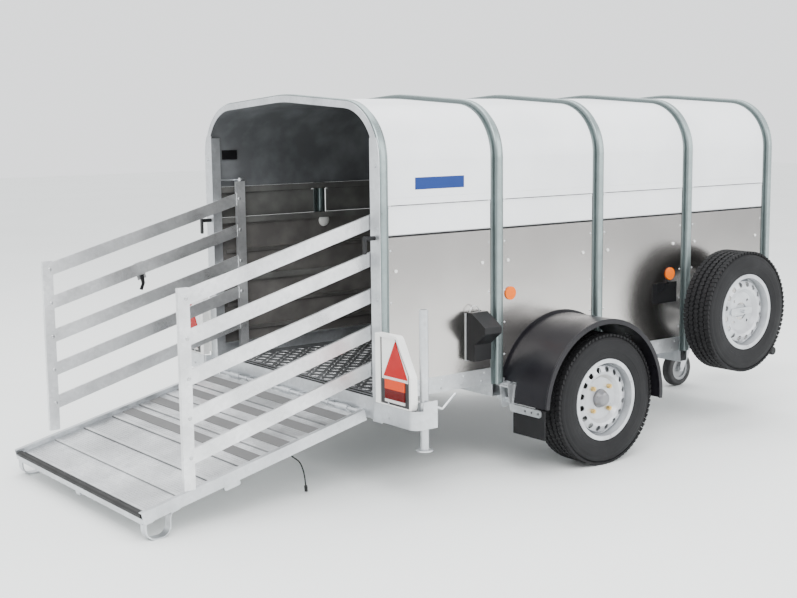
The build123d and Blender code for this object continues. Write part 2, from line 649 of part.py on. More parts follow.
def hub(x, z):
    """Brake drum and hub behind the disc, bored for the stub axle, with its grease cap and wheel nuts."""
    face = DISC_OFFSET
    drum = turned([(-58, AXLE_R + RUNNING), (face, AXLE_R + RUNNING), (face, HUB_R + 14), (face - 12,
                                                                                           HUB_R + 22),
                   (-58, HUB_R + 22), (-58, HUB_R + 14), (face - 22, HUB_R + 14), (face - 30,
                                                                                   34), (-58, 34)],
                  x, -WHEEL_Y, z)
    cap = turned([(face, 0), (face, HUB_BORE_R - 2), (face + 14, HUB_BORE_R - 3), (face + 34, 28),
                  (face + 38, 20), (face + 38, 0)], x, -WHEEL_Y, z)
    nuts = []
    for k in range(STUD_COUNT):
        a = radians(360 / STUD_COUNT * (k + 0.5))
        r = STUD_PCD / 2
        nut = extrude(RegularPolygon(11, 6), 16)
        nut = Pos(x + r * cos(a), -WHEEL_Y - face - RIM_SHEET, z + r * sin(a)) * Rot(90, 0, 0) * nut
        stud = rod_y(x + r * cos(a), -WHEEL_Y - face - 24, -WHEEL_Y - face, z + r * sin(a), 5.5)
        nuts.append(nut + stud)
    return [drum, cap, *nuts]


def axle_beam():
    """Square axle tube with the two stub axles."""
    half = AXLE_TUBE / 2
    inner = WHEEL_Y - 62
    beam = box(WHEEL_X - half, WHEEL_X + half, -inner, inner, TYRE_R - half, TYRE_R + half)
    beam -= box(WHEEL_X - half + 5, WHEEL_X + half - 5, -inner + 12, inner - 12, TYRE_R - half + 5,
                TYRE_R + half - 5)
    tip = WHEEL_Y + DISC_OFFSET - 2
    for side in (-1, 1):
        beam += rod_y(WHEEL_X, side * (inner - 1), side * tip, TYRE_R, AXLE_R)
    return beam


def spring_gear():
    """Leaf spring, its two hangers with gussets, the axle clamp and the flap's strap, on the right."""
    x0, x1 = SPRING_X
    under = TYRE_R - AXLE_TUBE / 2
    half = SPRING_W / 2
    sag = under - 9
    leaf = [(x0, SPRING_Z - 4), (WHEEL_X - 60, sag - 8), (WHEEL_X + 60, sag - 8), (x1, SPRING_Z - 4),
            (x1, SPRING_Z + 5), (WHEEL_X + 60, sag), (WHEEL_X - 60, sag), (x0, SPRING_Z + 5)]
    spring = plate_xz(leaf, -SPRING_Y - half, -SPRING_Y + half)
    pack = box(WHEEL_X - 55, WHEEL_X + 55, -SPRING_Y - half, -SPRING_Y + half, sag + 0.2, under - 0.2)
    clamp = box(WHEEL_X - 50, WHEEL_X + 50, -SPRING_Y - half - 8, -SPRING_Y + half + 8, sag - 16, sag - 8.2)
    hangers = []
    for x in SPRING_X:
        cheek = plate_xz([(x - 38, RAIL_BOTTOM - 0.3), (x + 38, RAIL_BOTTOM - 0.3), (x + 24, SPRING_Z - 22),
                          (x - 24, SPRING_Z - 22)], 0, 4)
        cheeks = []
        for y in (-SPRING_Y - half - 4.4, -SPRING_Y + half + 0.4):
            cheeks.append(Pos(0, y, 0) * cheek)
        hanger = box(x - 34, x + 34, -SPRING_Y - half - 4.4, -PANEL_Y + 1.8, RAIL_BOTTOM - 12,
                     RAIL_BOTTOM - 6)
        hanger += box(x - 2, x + 30, -PANEL_Y, -PANEL_Y + 26, LEG_TOP - 20, RAIL_BOTTOM - 0.3)
        for cheek in cheeks:
            hanger += cheek
        hanger -= rod_y(x, -SPRING_Y - half - 9, -SPRING_Y + half + 9, SPRING_Z + 14, 6 + RUNNING)
        hangers.append(hanger)
        hangers.append(rod_y(x, -SPRING_Y - half - 9, -SPRING_Y + half + 9, SPRING_Z + 14, 6))
    return [spring, pack, clamp, *hangers]


def flap_strap():
    """The drilled flat bar that runs out from the rear hanger and carries the mudflap."""
    cheek_y = -SPRING_Y - SPRING_W / 2 - 4.4
    strap = box(strap_x - STRAP_T, strap_x, -GUARD_Y + 20, cheek_y, *STRAP_SPAN)
    strap = fillet(strap.edges().filter_by(Axis.X).group_by(Axis.Y)[0], 15)
    for y in (-920, -880, -840):
        strap -= rod_x(strap_x - STRAP_T - 1, strap_x + 1, y, sum(STRAP_SPAN) / 2, 5)
    tab = box(strap_x - STRAP_T, strap_x + 26, cheek_y - 4, cheek_y, *STRAP_SPAN)
    return strap + tab


def mudflap():
    near = strap_x + SEAT_GAP
    return box(near, near + FLAP_T, -GUARD_Y + 4, -GUARD_CUT_Y - 2, FLAP_LOW, STRAP_SPAN[1])


def guard_ring(radius, width):
    """Flat ring in X and Z that follows the mudguard's arch."""
    return trace(CenterArc((GUARD_X, TYRE_R), radius, GUARD_START, GUARD_END - GUARD_START), width)


def mudguard():
    """A moulded arch over the wheel with a turned-down lip outside and a flange against the body side."""
    shell = extrude(Plane.XZ.offset(PANEL_Y + 1) * guard_ring(GUARD_R, GUARD_T), GUARD_Y - PANEL_Y - 1)
    shell += extrude(Plane.XZ.offset(GUARD_Y - GUARD_T) * guard_ring(GUARD_R - 9, 18), GUARD_T)
    shell += extrude(Plane.XZ.offset(PANEL_Y + 0.3) * guard_ring(GUARD_R + 6, 16), GUARD_T)
    reach = HOOP_WIDTH / 2 + HOOP_FLANGE + 1
    for x, top in ((hoop_x[1], 470), (hoop_x[2], 760)):
        shell -= box(x - reach, x + reach, -hoop_outer_y - 1, -PANEL_Y + 1, 200, top)
    for x in SPRING_X:
        shell -= box(x - 80, x + 60, -GUARD_CUT_Y, -PANEL_Y + 1, 0, RAIL_BOTTOM + 8)
    return shell


# ---------------------------------------------------------------- front end
def coupling_head():
    """Draw tube and coupling casting with the socket for the towing ball."""
    tip = BODY_LENGTH + DRAWBAR_REACH
    ball_x = tip - 52
    tube = rod_x(LEG_END[0] - 120, tip - 150, 0, DRAW_TUBE_Z, DRAW_TUBE_R)
    body = box(tip - 210, tip - 40, -36, 36, DRAW_TUBE_Z - 30, DRAW_TUBE_Z + 34)
    nose = rod_z(ball_x, 0, DRAW_TUBE_Z - 44, DRAW_TUBE_Z + 26, 52 - 0.2)
    casting = body + nose
    casting -= rod_z(ball_x, 0, DRAW_TUBE_Z - 45, DRAW_TUBE_Z - 20, BALL_R)
    casting -= Pos(ball_x, 0, DRAW_TUBE_Z - 20) * Sphere(BALL_R)
    x = tip - LEVER_BACK
    for side in (-1, 1):
        casting += box(x - 9, x + 9, side * 14.5, side * 19, DRAW_TUBE_Z + 30, DRAW_TUBE_Z + LEVER_UP + 9)
    pin = rod_y(x, -18, 18, DRAW_TUBE_Z + LEVER_UP, 4)
    return casting + tube + pin


def coupling_lever():
    """The handle on top of the coupling, hinged at its front."""
    x = BODY_LENGTH + DRAWBAR_REACH - LEVER_BACK
    z = DRAW_TUBE_Z + LEVER_UP
    arm = plate_xz([(x - 150, z + 30), (x - 140, z + 38), (x - 40, z + 12), (x + 8, z + 7), (x + 8, z - 6),
                    (x - 46, z - 2), (x - 146, z + 24)], -14, 14)
    return arm - rod_y(x, -15, 15, z, 4 + RUNNING)


def handbrake_lever():
    """The lever beside the overrun housing, lowered."""
    x = LEG_END[0] - 35
    z = DRAW_TUBE_Z + 44
    arm = box(x - 12, x + 330, 68, 76, z - 10, z + 10)
    grip = rod_x(x + 220, x + 340, 72, z, 14)
    pin = rod_y(x, 62.5, 80, z, 8)
    return arm + grip + pin


def jockey_outer():
    x = JOCKEY_X + JOCKEY_TRAIL
    tube = rod_z(x, 0, LEG_TOP, 760, JOCKEY_TUBE_R) - rod_z(x, 0, LEG_TOP - 1, 752, JOCKEY_LEG_R + RUNNING)
    tube -= rod_z(x, 0, 750, 761, 8 + RUNNING)
    collar = rod_z(x, 0, LEG_TOP + 6.2, LEG_TOP + 60, JOCKEY_TUBE_R + 12)
    collar -= rod_z(x, 0, LEG_TOP + 6, LEG_TOP + 61, JOCKEY_TUBE_R + 0.1)
    screw = rod_y(x, JOCKEY_TUBE_R + 12, JOCKEY_TUBE_R + 70, LEG_TOP + 34, 6)
    return [tube, collar, screw]


def jockey_leg():
    x = JOCKEY_X + JOCKEY_TRAIL
    leg = rod_z(x, 0, 222, JOCKEY_LEG_TOP, JOCKEY_LEG_R)
    leg -= rod_z(x, 0, 244, JOCKEY_LEG_TOP + 1, JOCKEY_LEG_R - 4)
    return leg - rod_z(x, 0, 220, 246, JOCKEY_PIN_R + RUNNING)


def jockey_fork():
    """Pressed fork that swivels on the leg and carries the small wheel behind its stem."""
    x = JOCKEY_X + JOCKEY_TRAIL
    inner = JOCKEY_WIDTH / 2 + 3
    cheek = [(JOCKEY_X - 14, JOCKEY_R - 12), (JOCKEY_X + 14, JOCKEY_R - 14), (x + 26, 196), (x + 26, 216),
             (x - 30, 216)]
    sides = plate_xz(cheek, -inner - 4, -inner) + plate_xz(cheek, inner, inner + 4)
    top = box(x - 28, x + 26, -inner - 4, inner + 4, 212, 217)
    fork = sides + top + rod_z(x, 0, 216, 221.7, 18) + rod_z(x, 0, 216, 240, JOCKEY_PIN_R)
    return fork + rod_y(JOCKEY_X, -inner - 9, inner + 9, JOCKEY_R, 8)


def jockey_wheel():
    """Solid rubber tyre on a plastic hub: one piece of each, running on the fork's axle."""
    half = JOCKEY_WIDTH / 2
    tread = rod_y(JOCKEY_X, -half, half, JOCKEY_R, JOCKEY_R)
    tread = fillet(tread.edges(), 16) - rod_y(JOCKEY_X, -half - 1, half + 1, JOCKEY_R, 62)
    centre = rod_y(JOCKEY_X, -half + 5, half - 5, JOCKEY_R, 62 - 0.1)
    centre -= rod_y(JOCKEY_X, -half - 1, -half + 18, JOCKEY_R, 50)
    centre -= rod_y(JOCKEY_X, half - 18, half + 1, JOCKEY_R, 50)
    centre += rod_y(JOCKEY_X, -half - 1, half + 1, JOCKEY_R, 18)
    centre -= rod_y(JOCKEY_X, -half - 2, half + 2, JOCKEY_R, 8 + RUNNING)
    return [tread, centre]


def jockey_handle():
    x = JOCKEY_X + JOCKEY_TRAIL
    shaft = rod_z(x, 0, 720, 786, 8)
    crank = box(x - 6, x + 90, -6, 6, 780, 790)
    knob = rod_z(x + 82, 0, 790, 860, 12)
    return shaft + crank + knob


# ---------------------------------------------------------------- fittings
def lamp_housing():
    """White moulded housing round the rear lamp, with a shallow pocket for it."""
    outline = [(-hoop_outer_y - 8, 396), (-915, 396), (-921, 420), (-919, 524), (-838, 668), (-826, 676),
               (-hoop_outer_y - 8, 676)]
    shell = plate_yz(outline, LAMP_FACE_X, LAMP_BACK_X)
    pocket = plate_yz(lamp_outline(LAMP_CLEAR), LAMP_FACE_X - 1, LAMP_FACE_X + LAMP_DEPTH + LAMP_CLEAR)
    bolt_plate = box(LAMP_BACK_X, JAMB_X, -780, -hoop_outer_y + 10, 410, 650)
    return shell - pocket + bolt_plate


def lamp_outline(grow):
    """Outline of the lamp's bezel in Y and Z, grown by a clearance."""
    low = LAMP_BOTTOM - grow
    top = LAMP_TOP + grow
    return [(-724 + grow, low), (-909 - grow, low), (-909 - grow, 530), (-826 - grow * 0.6, top),
            (-724 + grow, top)]


def lamp_bezel():
    body = plate_yz(lamp_outline(0), LAMP_FACE_X + 4, LAMP_FACE_X + LAMP_DEPTH)
    return body - plate_yz(triangle_outline(0.3), LAMP_FACE_X + 3, LAMP_FACE_X + 12) \
        - box(LAMP_FACE_X + 3, LAMP_FACE_X + 12, -879.7, -753.7, 409.7, 500.3)


def triangle_outline(grow):
    return [(-746 + grow, 512 - grow), (-896 - grow, 512 - grow), (-822, 654 + grow)]


def lamp_lenses():
    """Triangle reflector, indicator, tail lens and the clear strip, on the right."""
    triangle = plate_yz(triangle_outline(0), LAMP_FACE_X, LAMP_FACE_X + 11.8)
    amber = box(LAMP_FACE_X, LAMP_FACE_X + 11.8, -879.4, -754, 462, 500)
    tail = box(LAMP_FACE_X, LAMP_FACE_X + 11.8, -879.4, -754, 422, 461.7)
    clear = box(LAMP_FACE_X, LAMP_FACE_X + 11.8, -879.4, -754, 410, 421.7)
    return [triangle, amber, tail, clear]


def corner_plate():
    """Galvanised corner guard below the lamp that turns forwards and carries the stand's clamp."""
    line = FilletPolyline((LAMP_FACE_X + 2, -hoop_outer_y - 6), (LAMP_FACE_X + 2, -CORNER_Y + 2),
                          (STAND_X + 40, -CORNER_Y + 2), radius=[38])
    wall = extrude(trace(line, 4), 74)
    wall = Pos(0, 0, 320) * wall
    side = Pos(0, 0, 320) * box(STAND_X - 28, STAND_X + 42, -CORNER_Y, -CORNER_Y + 4, 0, 108)
    bridge = box(LAMP_FACE_X + 3, JAMB_X, -hoop_outer_y - 9, -hoop_outer_y + 4, 322, 392)
    strip = box(LAMP_FACE_X + 3, JAMB_X - 0.2, -hoop_outer_y + 4, -hoop_outer_y + 8, 322, 392)
    return wall + side + bridge + strip


def stand_clamp():
    """The collar that holds the prop stand, on the right-hand corner plate."""
    ring = rod_z(STAND_X, -STAND_Y, 380, 424, STAND_R + 7)
    ring += box(STAND_X - 12, STAND_X + 12, -CORNER_Y + 4.1, -STAND_Y, 380, 424)
    ring += box(STAND_X, STAND_X + 34, -STAND_Y - 8, -STAND_Y + 8, 392, 414)
    ring -= rod_z(STAND_X, -STAND_Y, 379, 425, STAND_R + RUNNING)
    return ring - rod_x(STAND_X, STAND_X + 40, -STAND_Y, 403, 5 + RUNNING)


def prop_stand():
    tube = rod_z(STAND_X, -STAND_Y, STAND_BOTTOM + 6, STAND_TOP, STAND_R)
    tube -= rod_z(STAND_X, -STAND_Y, STAND_BOTTOM + 20, STAND_TOP + 1, STAND_R - 3)
    foot = rod_z(STAND_X, -STAND_Y, STAND_BOTTOM, STAND_BOTTOM + 6, 33)
    return tube + foot


def stand_lever():
    """Cranked clamp rod: forwards from the collar, then up."""
    screw = rod_x(STAND_X + STAND_R + 1, STAND_X + 46, -STAND_Y, 403, 5)
    path = FilletPolyline((STAND_X + 44, 0, 403), (STAND_X + 90, 0, 382), (STAND_X + 156, 0, 436),
                          radius=12)
    bent = sweep(Plane(path @ 0, z_dir=path % 0) * Circle(5), path=path)
    return screw + Pos(0, -STAND_Y, 0) * bent


def chock():
    """Wedge-shaped wheel chock stored on its two pegs, nose outwards."""
    seat = -PANEL_Y - 4.4
    outline = [(seat, CHOCK_LOW), (seat - 50, CHOCK_LOW), (seat - 52, CHOCK_LOW + 72), (seat - 118,
                                                                                        CHOCK_LOW + 122),
               (seat - 118, CHOCK_LOW + 150), (seat - 30, CHOCK_LOW + 204), (seat, CHOCK_LOW + 204)]
    body = plate_yz(outline, CHOCK_X - CHOCK_WIDTH / 2, CHOCK_X + CHOCK_WIDTH / 2)
    body = fillet(body.edges().filter_by(Axis.X), 4)
    for z in CHOCK_PEGS:
        body -= rod_y(CHOCK_X, seat + 1, seat - PEG_LENGTH - 1, z, PEG_R + RUNNING)
    return body


def chock_holder():
    plate = box(CHOCK_X - 50, CHOCK_X + 50, -PANEL_Y - 4.2, -PANEL_Y - 0.2, CHOCK_LOW - 4, CHOCK_LOW + 200)
    for z in CHOCK_PEGS:
        plate += rod_y(CHOCK_X, -PANEL_Y - 4, -PANEL_Y - PEG_LENGTH, z, PEG_R)
    return plate


def spare_carrier():
    """Bracket from the body side to the spare wheel's disc, with its clamp bar and bolt."""
    plate = box(SPARE_X - 90, SPARE_X + 90, -PANEL_Y - 6.2, -PANEL_Y - 0.2, SPARE_Z - 60, SPARE_Z + 60)
    face = WHEEL_Y + DISC_OFFSET
    tube = box(SPARE_X - 30, SPARE_X + 30, -face + 0.2, -PANEL_Y - 6, SPARE_Z - 30, SPARE_Z + 30)
    tube -= box(SPARE_X - 26, SPARE_X + 26, -face - 1, -PANEL_Y - 7, SPARE_Z - 26, SPARE_Z + 26)
    lip = box(SPARE_X - 62, SPARE_X + 62, -face + 0.2, -face + 6, SPARE_Z - 24, SPARE_Z + 24)
    bar = box(SPARE_X - 78, SPARE_X + 78, -face - 13, -face - RIM_SHEET - 0.2, SPARE_Z - 16, SPARE_Z + 16)
    bar = fillet(bar.edges().filter_by(Axis.Y), 12)
    bolt = rod_y(SPARE_X, -face - 34, -face + 5, SPARE_Z, 8)
    return [plate + tube + lip, bar + bolt]


def side_reflectors():
    return both(*(rod_y(x, -PANEL_Y - 6.2, -PANEL_Y - 0.2, 763, 29) for x in (690, 1723)))


def body_studs():
    """Turn-button studs that hold the vent flaps when they are down."""
    places = (69, 530, 676, 1131, 1291, 1741, 1896, 2365)
    return both(*(rod_y(x, -PANEL_Y - 5.2, -PANEL_Y - 0.1, 907, 7) for x in places))


def marker_lamps():
    """Rubber-mounted marker lamp at each front corner."""
    x = BODY_LENGTH + 30
    stem = box(BODY_LENGTH + 10.2, x, -PANEL_Y + 4, -PANEL_Y + 14, 288, RAIL_BOTTOM + 30)
    head = rod_y(x, -PANEL_Y - 52, -PANEL_Y + 10, 304, 22)
    return both(stem + fillet(head.edges(), 6))


def lead_route():
    return [(-330, -450, 216), (-322, -450, 183), (-297, -450, 160), (-267, -450, 138), (-251, -450, 102),
            (-243, -450, 66), (-240, -450, 32)]


def route_radii(points):
    """The largest arc that each corner of the lead's route allows."""
    radii = []
    for a, b, c in zip(points, points[1:], points[2:]):
        first = Vector(*b) - Vector(*a)
        second = Vector(*c) - Vector(*b)
        turn = first.get_angle(second)
        radii.append(0.45 * min(first.length, second.length) / tan(radians(turn / 2)))
    return radii


def ramp_lead():
    points = lead_route()
    radii = route_radii(points)
    print("lead radii", [round(r, 1) for r in radii])
    path = FilletPolyline(*points, radius=radii)
    print("lead length", round(path.length, 1))
    return sweep(Plane(path @ 0, z_dir=path % 0) * Circle(LEAD_R), path=path)


def lead_gland():
    """Rubber gland under the deck that the lead comes out of."""
    first, second = (Vector(*p) for p in lead_route()[:2])
    back = (first - second).normalized()
    slope = radians(RAMP_SLOPE)
    height = (HINGE_X - first.X) * sin(slope) - (HINGE_Z - first.Z) * cos(slope)
    gland = Plane(first, z_dir=back).location * Pos(0, 0, 20) * Cylinder(8, 40)
    return gland & on_ramp(box(-RAMP_LENGTH, 0, -RAMP_HALF, RAMP_HALF, height - 10, DECK_TOP - DECK_T))


def lead_connector():
    points = [Vector(*p) for p in lead_route()]
    along = (points[-1] - points[-2]).normalized()
    return Pos(*points[-1]) * Plane((0, 0, 0), z_dir=along).location * Pos(0, 0, 12) * Cylinder(7, 24)


# ---------------------------------------------------------------- nodes
def main():
    save("chassis_frame", *both(side_rail()), *cross_members(), stand_clamp())
    save("drawbar", *drawbar(), overrun_housing())
    save("floor_plate", floor_plate())
    save("rear_frame", *rear_frame())
    save("rear_arch", rear_arch())
    save("roof_hoops", *(hoop(x, k > 0, k < BAYS) for k, x in enumerate(hoop_x)))
    save("body_panels", *both(side_panel()), front_panel())
    save("roof_skin", roof_skin())
    save("body_rails", *body_rails())
    save("vent_flaps_right", *vent_flaps())
    save("vent_flaps_left", *(mirrored(flap) for flap in vent_flaps()))

    save("ramp_frame", *ramp_frame())
    save("ramp_deck", *ramp_deck())
    save("ramp_rubbers", ramp_edge_strip(), lead_gland())
    save("ramp_catch_right", ramp_catch())
    save("ramp_catch_left", mirrored(ramp_catch()))
    save("ramp_lead", ramp_lead())
    save("lead_connector", lead_connector())

    save("gate_right_inner_post", inner_post(RIGHT_HINGE_X))
    save("gate_left_inner_post", mirrored(inner_post(LEFT_HINGE_X)))
    for k in range(GATE_RAILS):
        save(f"gate_right_rail_{k + 1}", gate_rail(RIGHT_HINGE_X, k))
        left = [mirrored(gate_rail(LEFT_HINGE_X, k))]
        if k == 1:
            left.append(latch_clamp())
        save(f"gate_left_rail_{k + 1}", *left)
    save("gate_right_outer_post", outer_post())
    save("gate_left_outer_post", mirrored(outer_post()))
    save("gate_latch_lever", gate_latch_lever())

    save("axle_beam", axle_beam())
    save("spring_gear", *both(*spring_gear(), flap_strap()))
    save("mudguards", *both(mudguard()))
    save("mudflaps", *both(mudflap()))
    save("tyre_right", tyre(WHEEL_X, TYRE_R))
    save("tyre_left", mirrored(tyre(WHEEL_X, TYRE_R)))
    save("rim_right", rim(WHEEL_X, TYRE_R), *hub(WHEEL_X, TYRE_R))
    save("rim_left", *(mirrored(part) for part in (rim(WHEEL_X, TYRE_R), *hub(WHEEL_X, TYRE_R))))
    save("spare_tyre", tyre(SPARE_X, SPARE_Z))
    save("spare_rim", rim(SPARE_X, SPARE_Z))
    save("spare_carrier", *spare_carrier())

    save("coupling_head", coupling_head())
    save("coupling_lever", coupling_lever())
    save("handbrake_lever", handbrake_lever())
    save("jockey_outer_tube", *jockey_outer())
    save("jockey_leg", jockey_leg())
    save("jockey_fork", jockey_fork())
    save("jockey_wheel", *jockey_wheel())
    save("jockey_handle", jockey_handle())

    save("lamp_housings", *both(lamp_housing(), lamp_bezel()))
    save("lamp_lenses", *both(*lamp_lenses()))
    save("side_brackets", *both(corner_plate()), chock_holder())
    save("prop_stand", prop_stand())
    save("stand_lever", stand_lever())
    save("wheel_chock", chock())
    save("side_markers", *side_reflectors(), *marker_lamps())
    save("body_studs", *body_studs())


main()
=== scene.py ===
"""The looks of a livestock trailer: materials, small fittings, stage and camera around its fixed frame."""
from math import cos, pi, radians, sin

import bmesh
import bpy
from bpy.props import FloatProperty, FloatVectorProperty, IntProperty, PointerProperty
from mathutils import Matrix, Vector


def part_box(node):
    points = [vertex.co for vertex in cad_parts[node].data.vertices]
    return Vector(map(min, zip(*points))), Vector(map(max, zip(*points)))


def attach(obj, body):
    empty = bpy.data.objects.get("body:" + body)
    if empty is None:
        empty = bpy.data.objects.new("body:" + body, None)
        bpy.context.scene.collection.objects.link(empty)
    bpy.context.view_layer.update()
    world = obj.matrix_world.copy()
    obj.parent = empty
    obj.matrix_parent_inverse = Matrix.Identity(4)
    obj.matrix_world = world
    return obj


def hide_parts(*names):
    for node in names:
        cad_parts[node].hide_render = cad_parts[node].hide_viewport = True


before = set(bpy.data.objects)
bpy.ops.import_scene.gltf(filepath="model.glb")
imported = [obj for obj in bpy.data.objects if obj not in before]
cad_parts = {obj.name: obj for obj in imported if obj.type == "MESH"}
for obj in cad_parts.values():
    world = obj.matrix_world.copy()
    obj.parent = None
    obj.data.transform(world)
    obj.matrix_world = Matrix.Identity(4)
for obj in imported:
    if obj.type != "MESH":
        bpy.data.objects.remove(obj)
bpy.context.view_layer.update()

bl_info = {
    "name": "Livestock Trailer Looks",
    "version": (1, 0, 0),
    "blender": (4, 5, 0),
    "location": "3D View > Sidebar > Trailer",
    "description": "Builds the finishes and small fittings of a livestock trailer",
    "category": "Object",
}

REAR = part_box("body_panels")[0][0]      # the rear frame plane in the row's frame
BODY_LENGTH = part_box("body_panels")[1][0] - REAR
BAYS = 4
BAY = 0.6125
PANEL_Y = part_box("body_panels")[1][1]
FLOOR_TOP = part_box("floor_plate")[1][2]
WHEEL = (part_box("tyre_right")[0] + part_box("tyre_right")[1]) / 2
SPARE = (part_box("spare_tyre")[0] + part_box("spare_tyre")[1]) / 2
HINGE = Vector((REAR - 0.038, 0, 0.330))
RAMP_SLOPE = radians(13.3)
ARCH_X, ARCH_Z, ARCH_R = 0.987, 0.289, 0.3585      # the mudguard's outer edge
DECK_START = 0.016
PLANK = 0.14114


# ------------------------------------------------------------------ user settings
class TrailerSizes(bpy.types.PropertyGroup):
    rivet: FloatProperty(name="Rivet head", description="Radius of a small rivet head", default=0.005,
                         unit="LENGTH")
    stud: FloatProperty(name="Gate rivet", description="Radius of a gate rivet head", default=0.0085,
                        unit="LENGTH")
    lozenge: FloatProperty(name="Lozenge", description="Half length of a lozenge on the floor", default=0.021,
                           unit="LENGTH")
    rib_pitch: FloatProperty(name="Rib pitch", description="Spacing of the deck's fine ribs", default=0.0115,
                             unit="LENGTH")
    tread_blocks: IntProperty(name="Tread blocks", description="Blocks in one row round a tyre", default=80)


class TrailerColours(bpy.types.PropertyGroup):
    sheet: FloatVectorProperty(name="White sheet", description="Roof and vent flaps", subtype="COLOR",
                               default=(0.86, 0.88, 0.90))
    panel: FloatVectorProperty(name="Side panel", description="Mill-finish aluminium", subtype="COLOR",
                               default=(0.52, 0.50, 0.48))
    hoop: FloatVectorProperty(name="Hoops", description="Weathered galvanised steel", subtype="COLOR",
                              default=(0.30, 0.36, 0.36))
    galvanised: FloatVectorProperty(name="Galvanised", description="Bright galvanised steel", subtype="COLOR",
                                    default=(0.62, 0.64, 0.66))
    # The body's dark inside: partly the lining's own tone, partly painted shade.
    lining: FloatVectorProperty(name="Lining", description="Inside of the body", subtype="COLOR",
                                default=(0.10, 0.095, 0.09))
    reflector: FloatVectorProperty(name="Side reflector", description="Round side reflectors",
                                   subtype="COLOR", default=(0.82, 0.15, 0.001))


def sizes():
    return bpy.context.scene.trailer_sizes


def colours():
    return bpy.context.scene.trailer_colours


# ------------------------------------------------------------------ material kit
class Finish:
    """One procedural material on object coordinates, with its shader and a few ways to vary it."""

    def __init__(self, name, metallic=0.0, **constants):
        self.material = bpy.data.materials.new(name)
        self.material.use_nodes = True
        self.nodes = self.material.node_tree.nodes
        self.links = self.material.node_tree.links
        self.shader = self.nodes["Principled BSDF"]
        self.shader.inputs["Metallic"].default_value = metallic
        for socket, value in constants.items():
            self.shader.inputs[socket.replace("_", " ")].default_value = value
        self.coords = self.nodes.new("ShaderNodeTexCoord")

    def node(self, kind, inputs=(), **settings):
        node = self.nodes.new(kind)
        for key, value in settings.items():
            setattr(node, key, value)
        for key, value in dict(inputs).items():
            if hasattr(value, "is_output"):
                self.links.new(value, node.inputs[key])
            else:
                node.inputs[key].default_value = value
        return node

    def place(self, scale=(1, 1, 1)):
        inputs = {"Vector": self.coords.outputs["Object"], "Scale": scale}
        return self.node("ShaderNodeMapping", inputs).outputs[0]

    def noise(self, scale, detail=3.0, stretch=(1, 1, 1)):
        return self.node("ShaderNodeTexNoise", {"Vector": self.place(stretch), "Scale": scale,
                                                "Detail": detail}).outputs["Fac"]

    def spangle(self, scale):
        return self.node("ShaderNodeTexVoronoi", {"Vector": self.place(), "Scale": scale}).outputs["Color"]

    def math(self, operation, a, b=0.0, c=0.0):
        return self.node("ShaderNodeMath", {0: a, 1: b, 2: c}, operation=operation).outputs[0]

    def vector(self, operation, a, b=(0, 0, 0)):
        return self.node("ShaderNodeVectorMath", {0: a, 1: b}, operation=operation)

    def axis(self, name, of=None):
        source = of or self.coords.outputs["Object"]
        return self.node("ShaderNodeSeparateXYZ", {0: source}).outputs[name]

    def span(self, value, low, high, new_low=0.0, new_high=1.0):
        return self.node("ShaderNodeMapRange", {"Value": value, "From Min": low, "From Max": high,
                                                "To Min": new_low, "To Max": new_high}).outputs[0]

    def between(self, value, low, high):
        above = self.math("GREATER_THAN", value, low)
        return self.math("MULTIPLY", above, self.math("LESS_THAN", value, high))

    def mix(self, fac, a, b):
        def four(c):
            return c if hasattr(c, "is_output") or len(c) == 4 else (*c, 1.0)
        node = self.node("ShaderNodeMix", data_type="RGBA")
        for socket, value in ((node.inputs[0], fac), (node.inputs[6], four(a)), (node.inputs[7], four(b))):
            if hasattr(value, "is_output"):
                self.links.new(value, socket)
            else:
                socket.default_value = value
        return node.outputs[2]

    def blend(self, fac, a, b):
        """A number that goes from a to b as fac goes from 0 to 1."""
        return self.math("ADD", a, self.math("MULTIPLY", fac, b - a))

    def to(self, socket, value):
        self.links.new(value, self.shader.inputs[socket])
        return self

    def bump(self, height, distance=0.001, strength=0.5):
        node = self.node("ShaderNodeBump", {"Height": height, "Distance": distance, "Strength": strength})
        return self.to("Normal", node.outputs[0])

    def radius(self, centre):
        """Distance from a wheel's axle."""
        away = self.vector("SUBTRACT", self.coords.outputs["Object"], centre).outputs[0]
        flat = self.vector("MULTIPLY", away, (1, 0, 1)).outputs[0]
        return self.vector("LENGTH", flat).outputs["Value"]

    def inside(self):
        """1 on faces that look into the body, 0 on faces that look out."""
        normal = self.coords.outputs["Normal"]
        out = self.vector("SUBTRACT", self.coords.outputs["Object"], (0, 0, 1.2)).outputs[0]
        out = self.vector("MULTIPLY", out, (0, 1, 1)).outputs[0]
        facing = self.vector("DOT_PRODUCT", normal, out).outputs["Value"]
        side = self.math("LESS_THAN", facing, -0.02)
        return self.math("MAXIMUM", side, self.math("LESS_THAN", self.axis("X", normal), -0.5))


def scaled(colour, factor):
    return tuple(min(c * factor, 1.0) for c in colour)


def metal(name, colour, rough=0.38, metallic=0.85, spangle=70.0, stretch=(1, 1, 1)):
    """Zinc or aluminium: faint crystals, cloudy tone, fine grain along one way."""
    f = Finish(name, metallic)
    cloud = f.noise(5.0, 4.0)
    grain = f.noise(180.0, 2.0, stretch)
    tone = f.mix(f.span(cloud, 0.35, 0.65), scaled(colour, 0.84), scaled(colour, 1.12))
    crystal = f.node("ShaderNodeSeparateColor", {0: f.spangle(spangle)}).outputs[0]
    tone = f.mix(f.math("MULTIPLY", crystal, 0.28), tone, scaled(colour, 0.62))
    f.to("Base Color", tone)
    wear = f.math("ADD", cloud, f.math("MULTIPLY", grain, 0.5))
    f.to("Roughness", f.span(wear, 0.5, 1.0, rough - 0.1, rough + 0.12))
    f.bump(grain, 0.0004, 0.35)
    return f


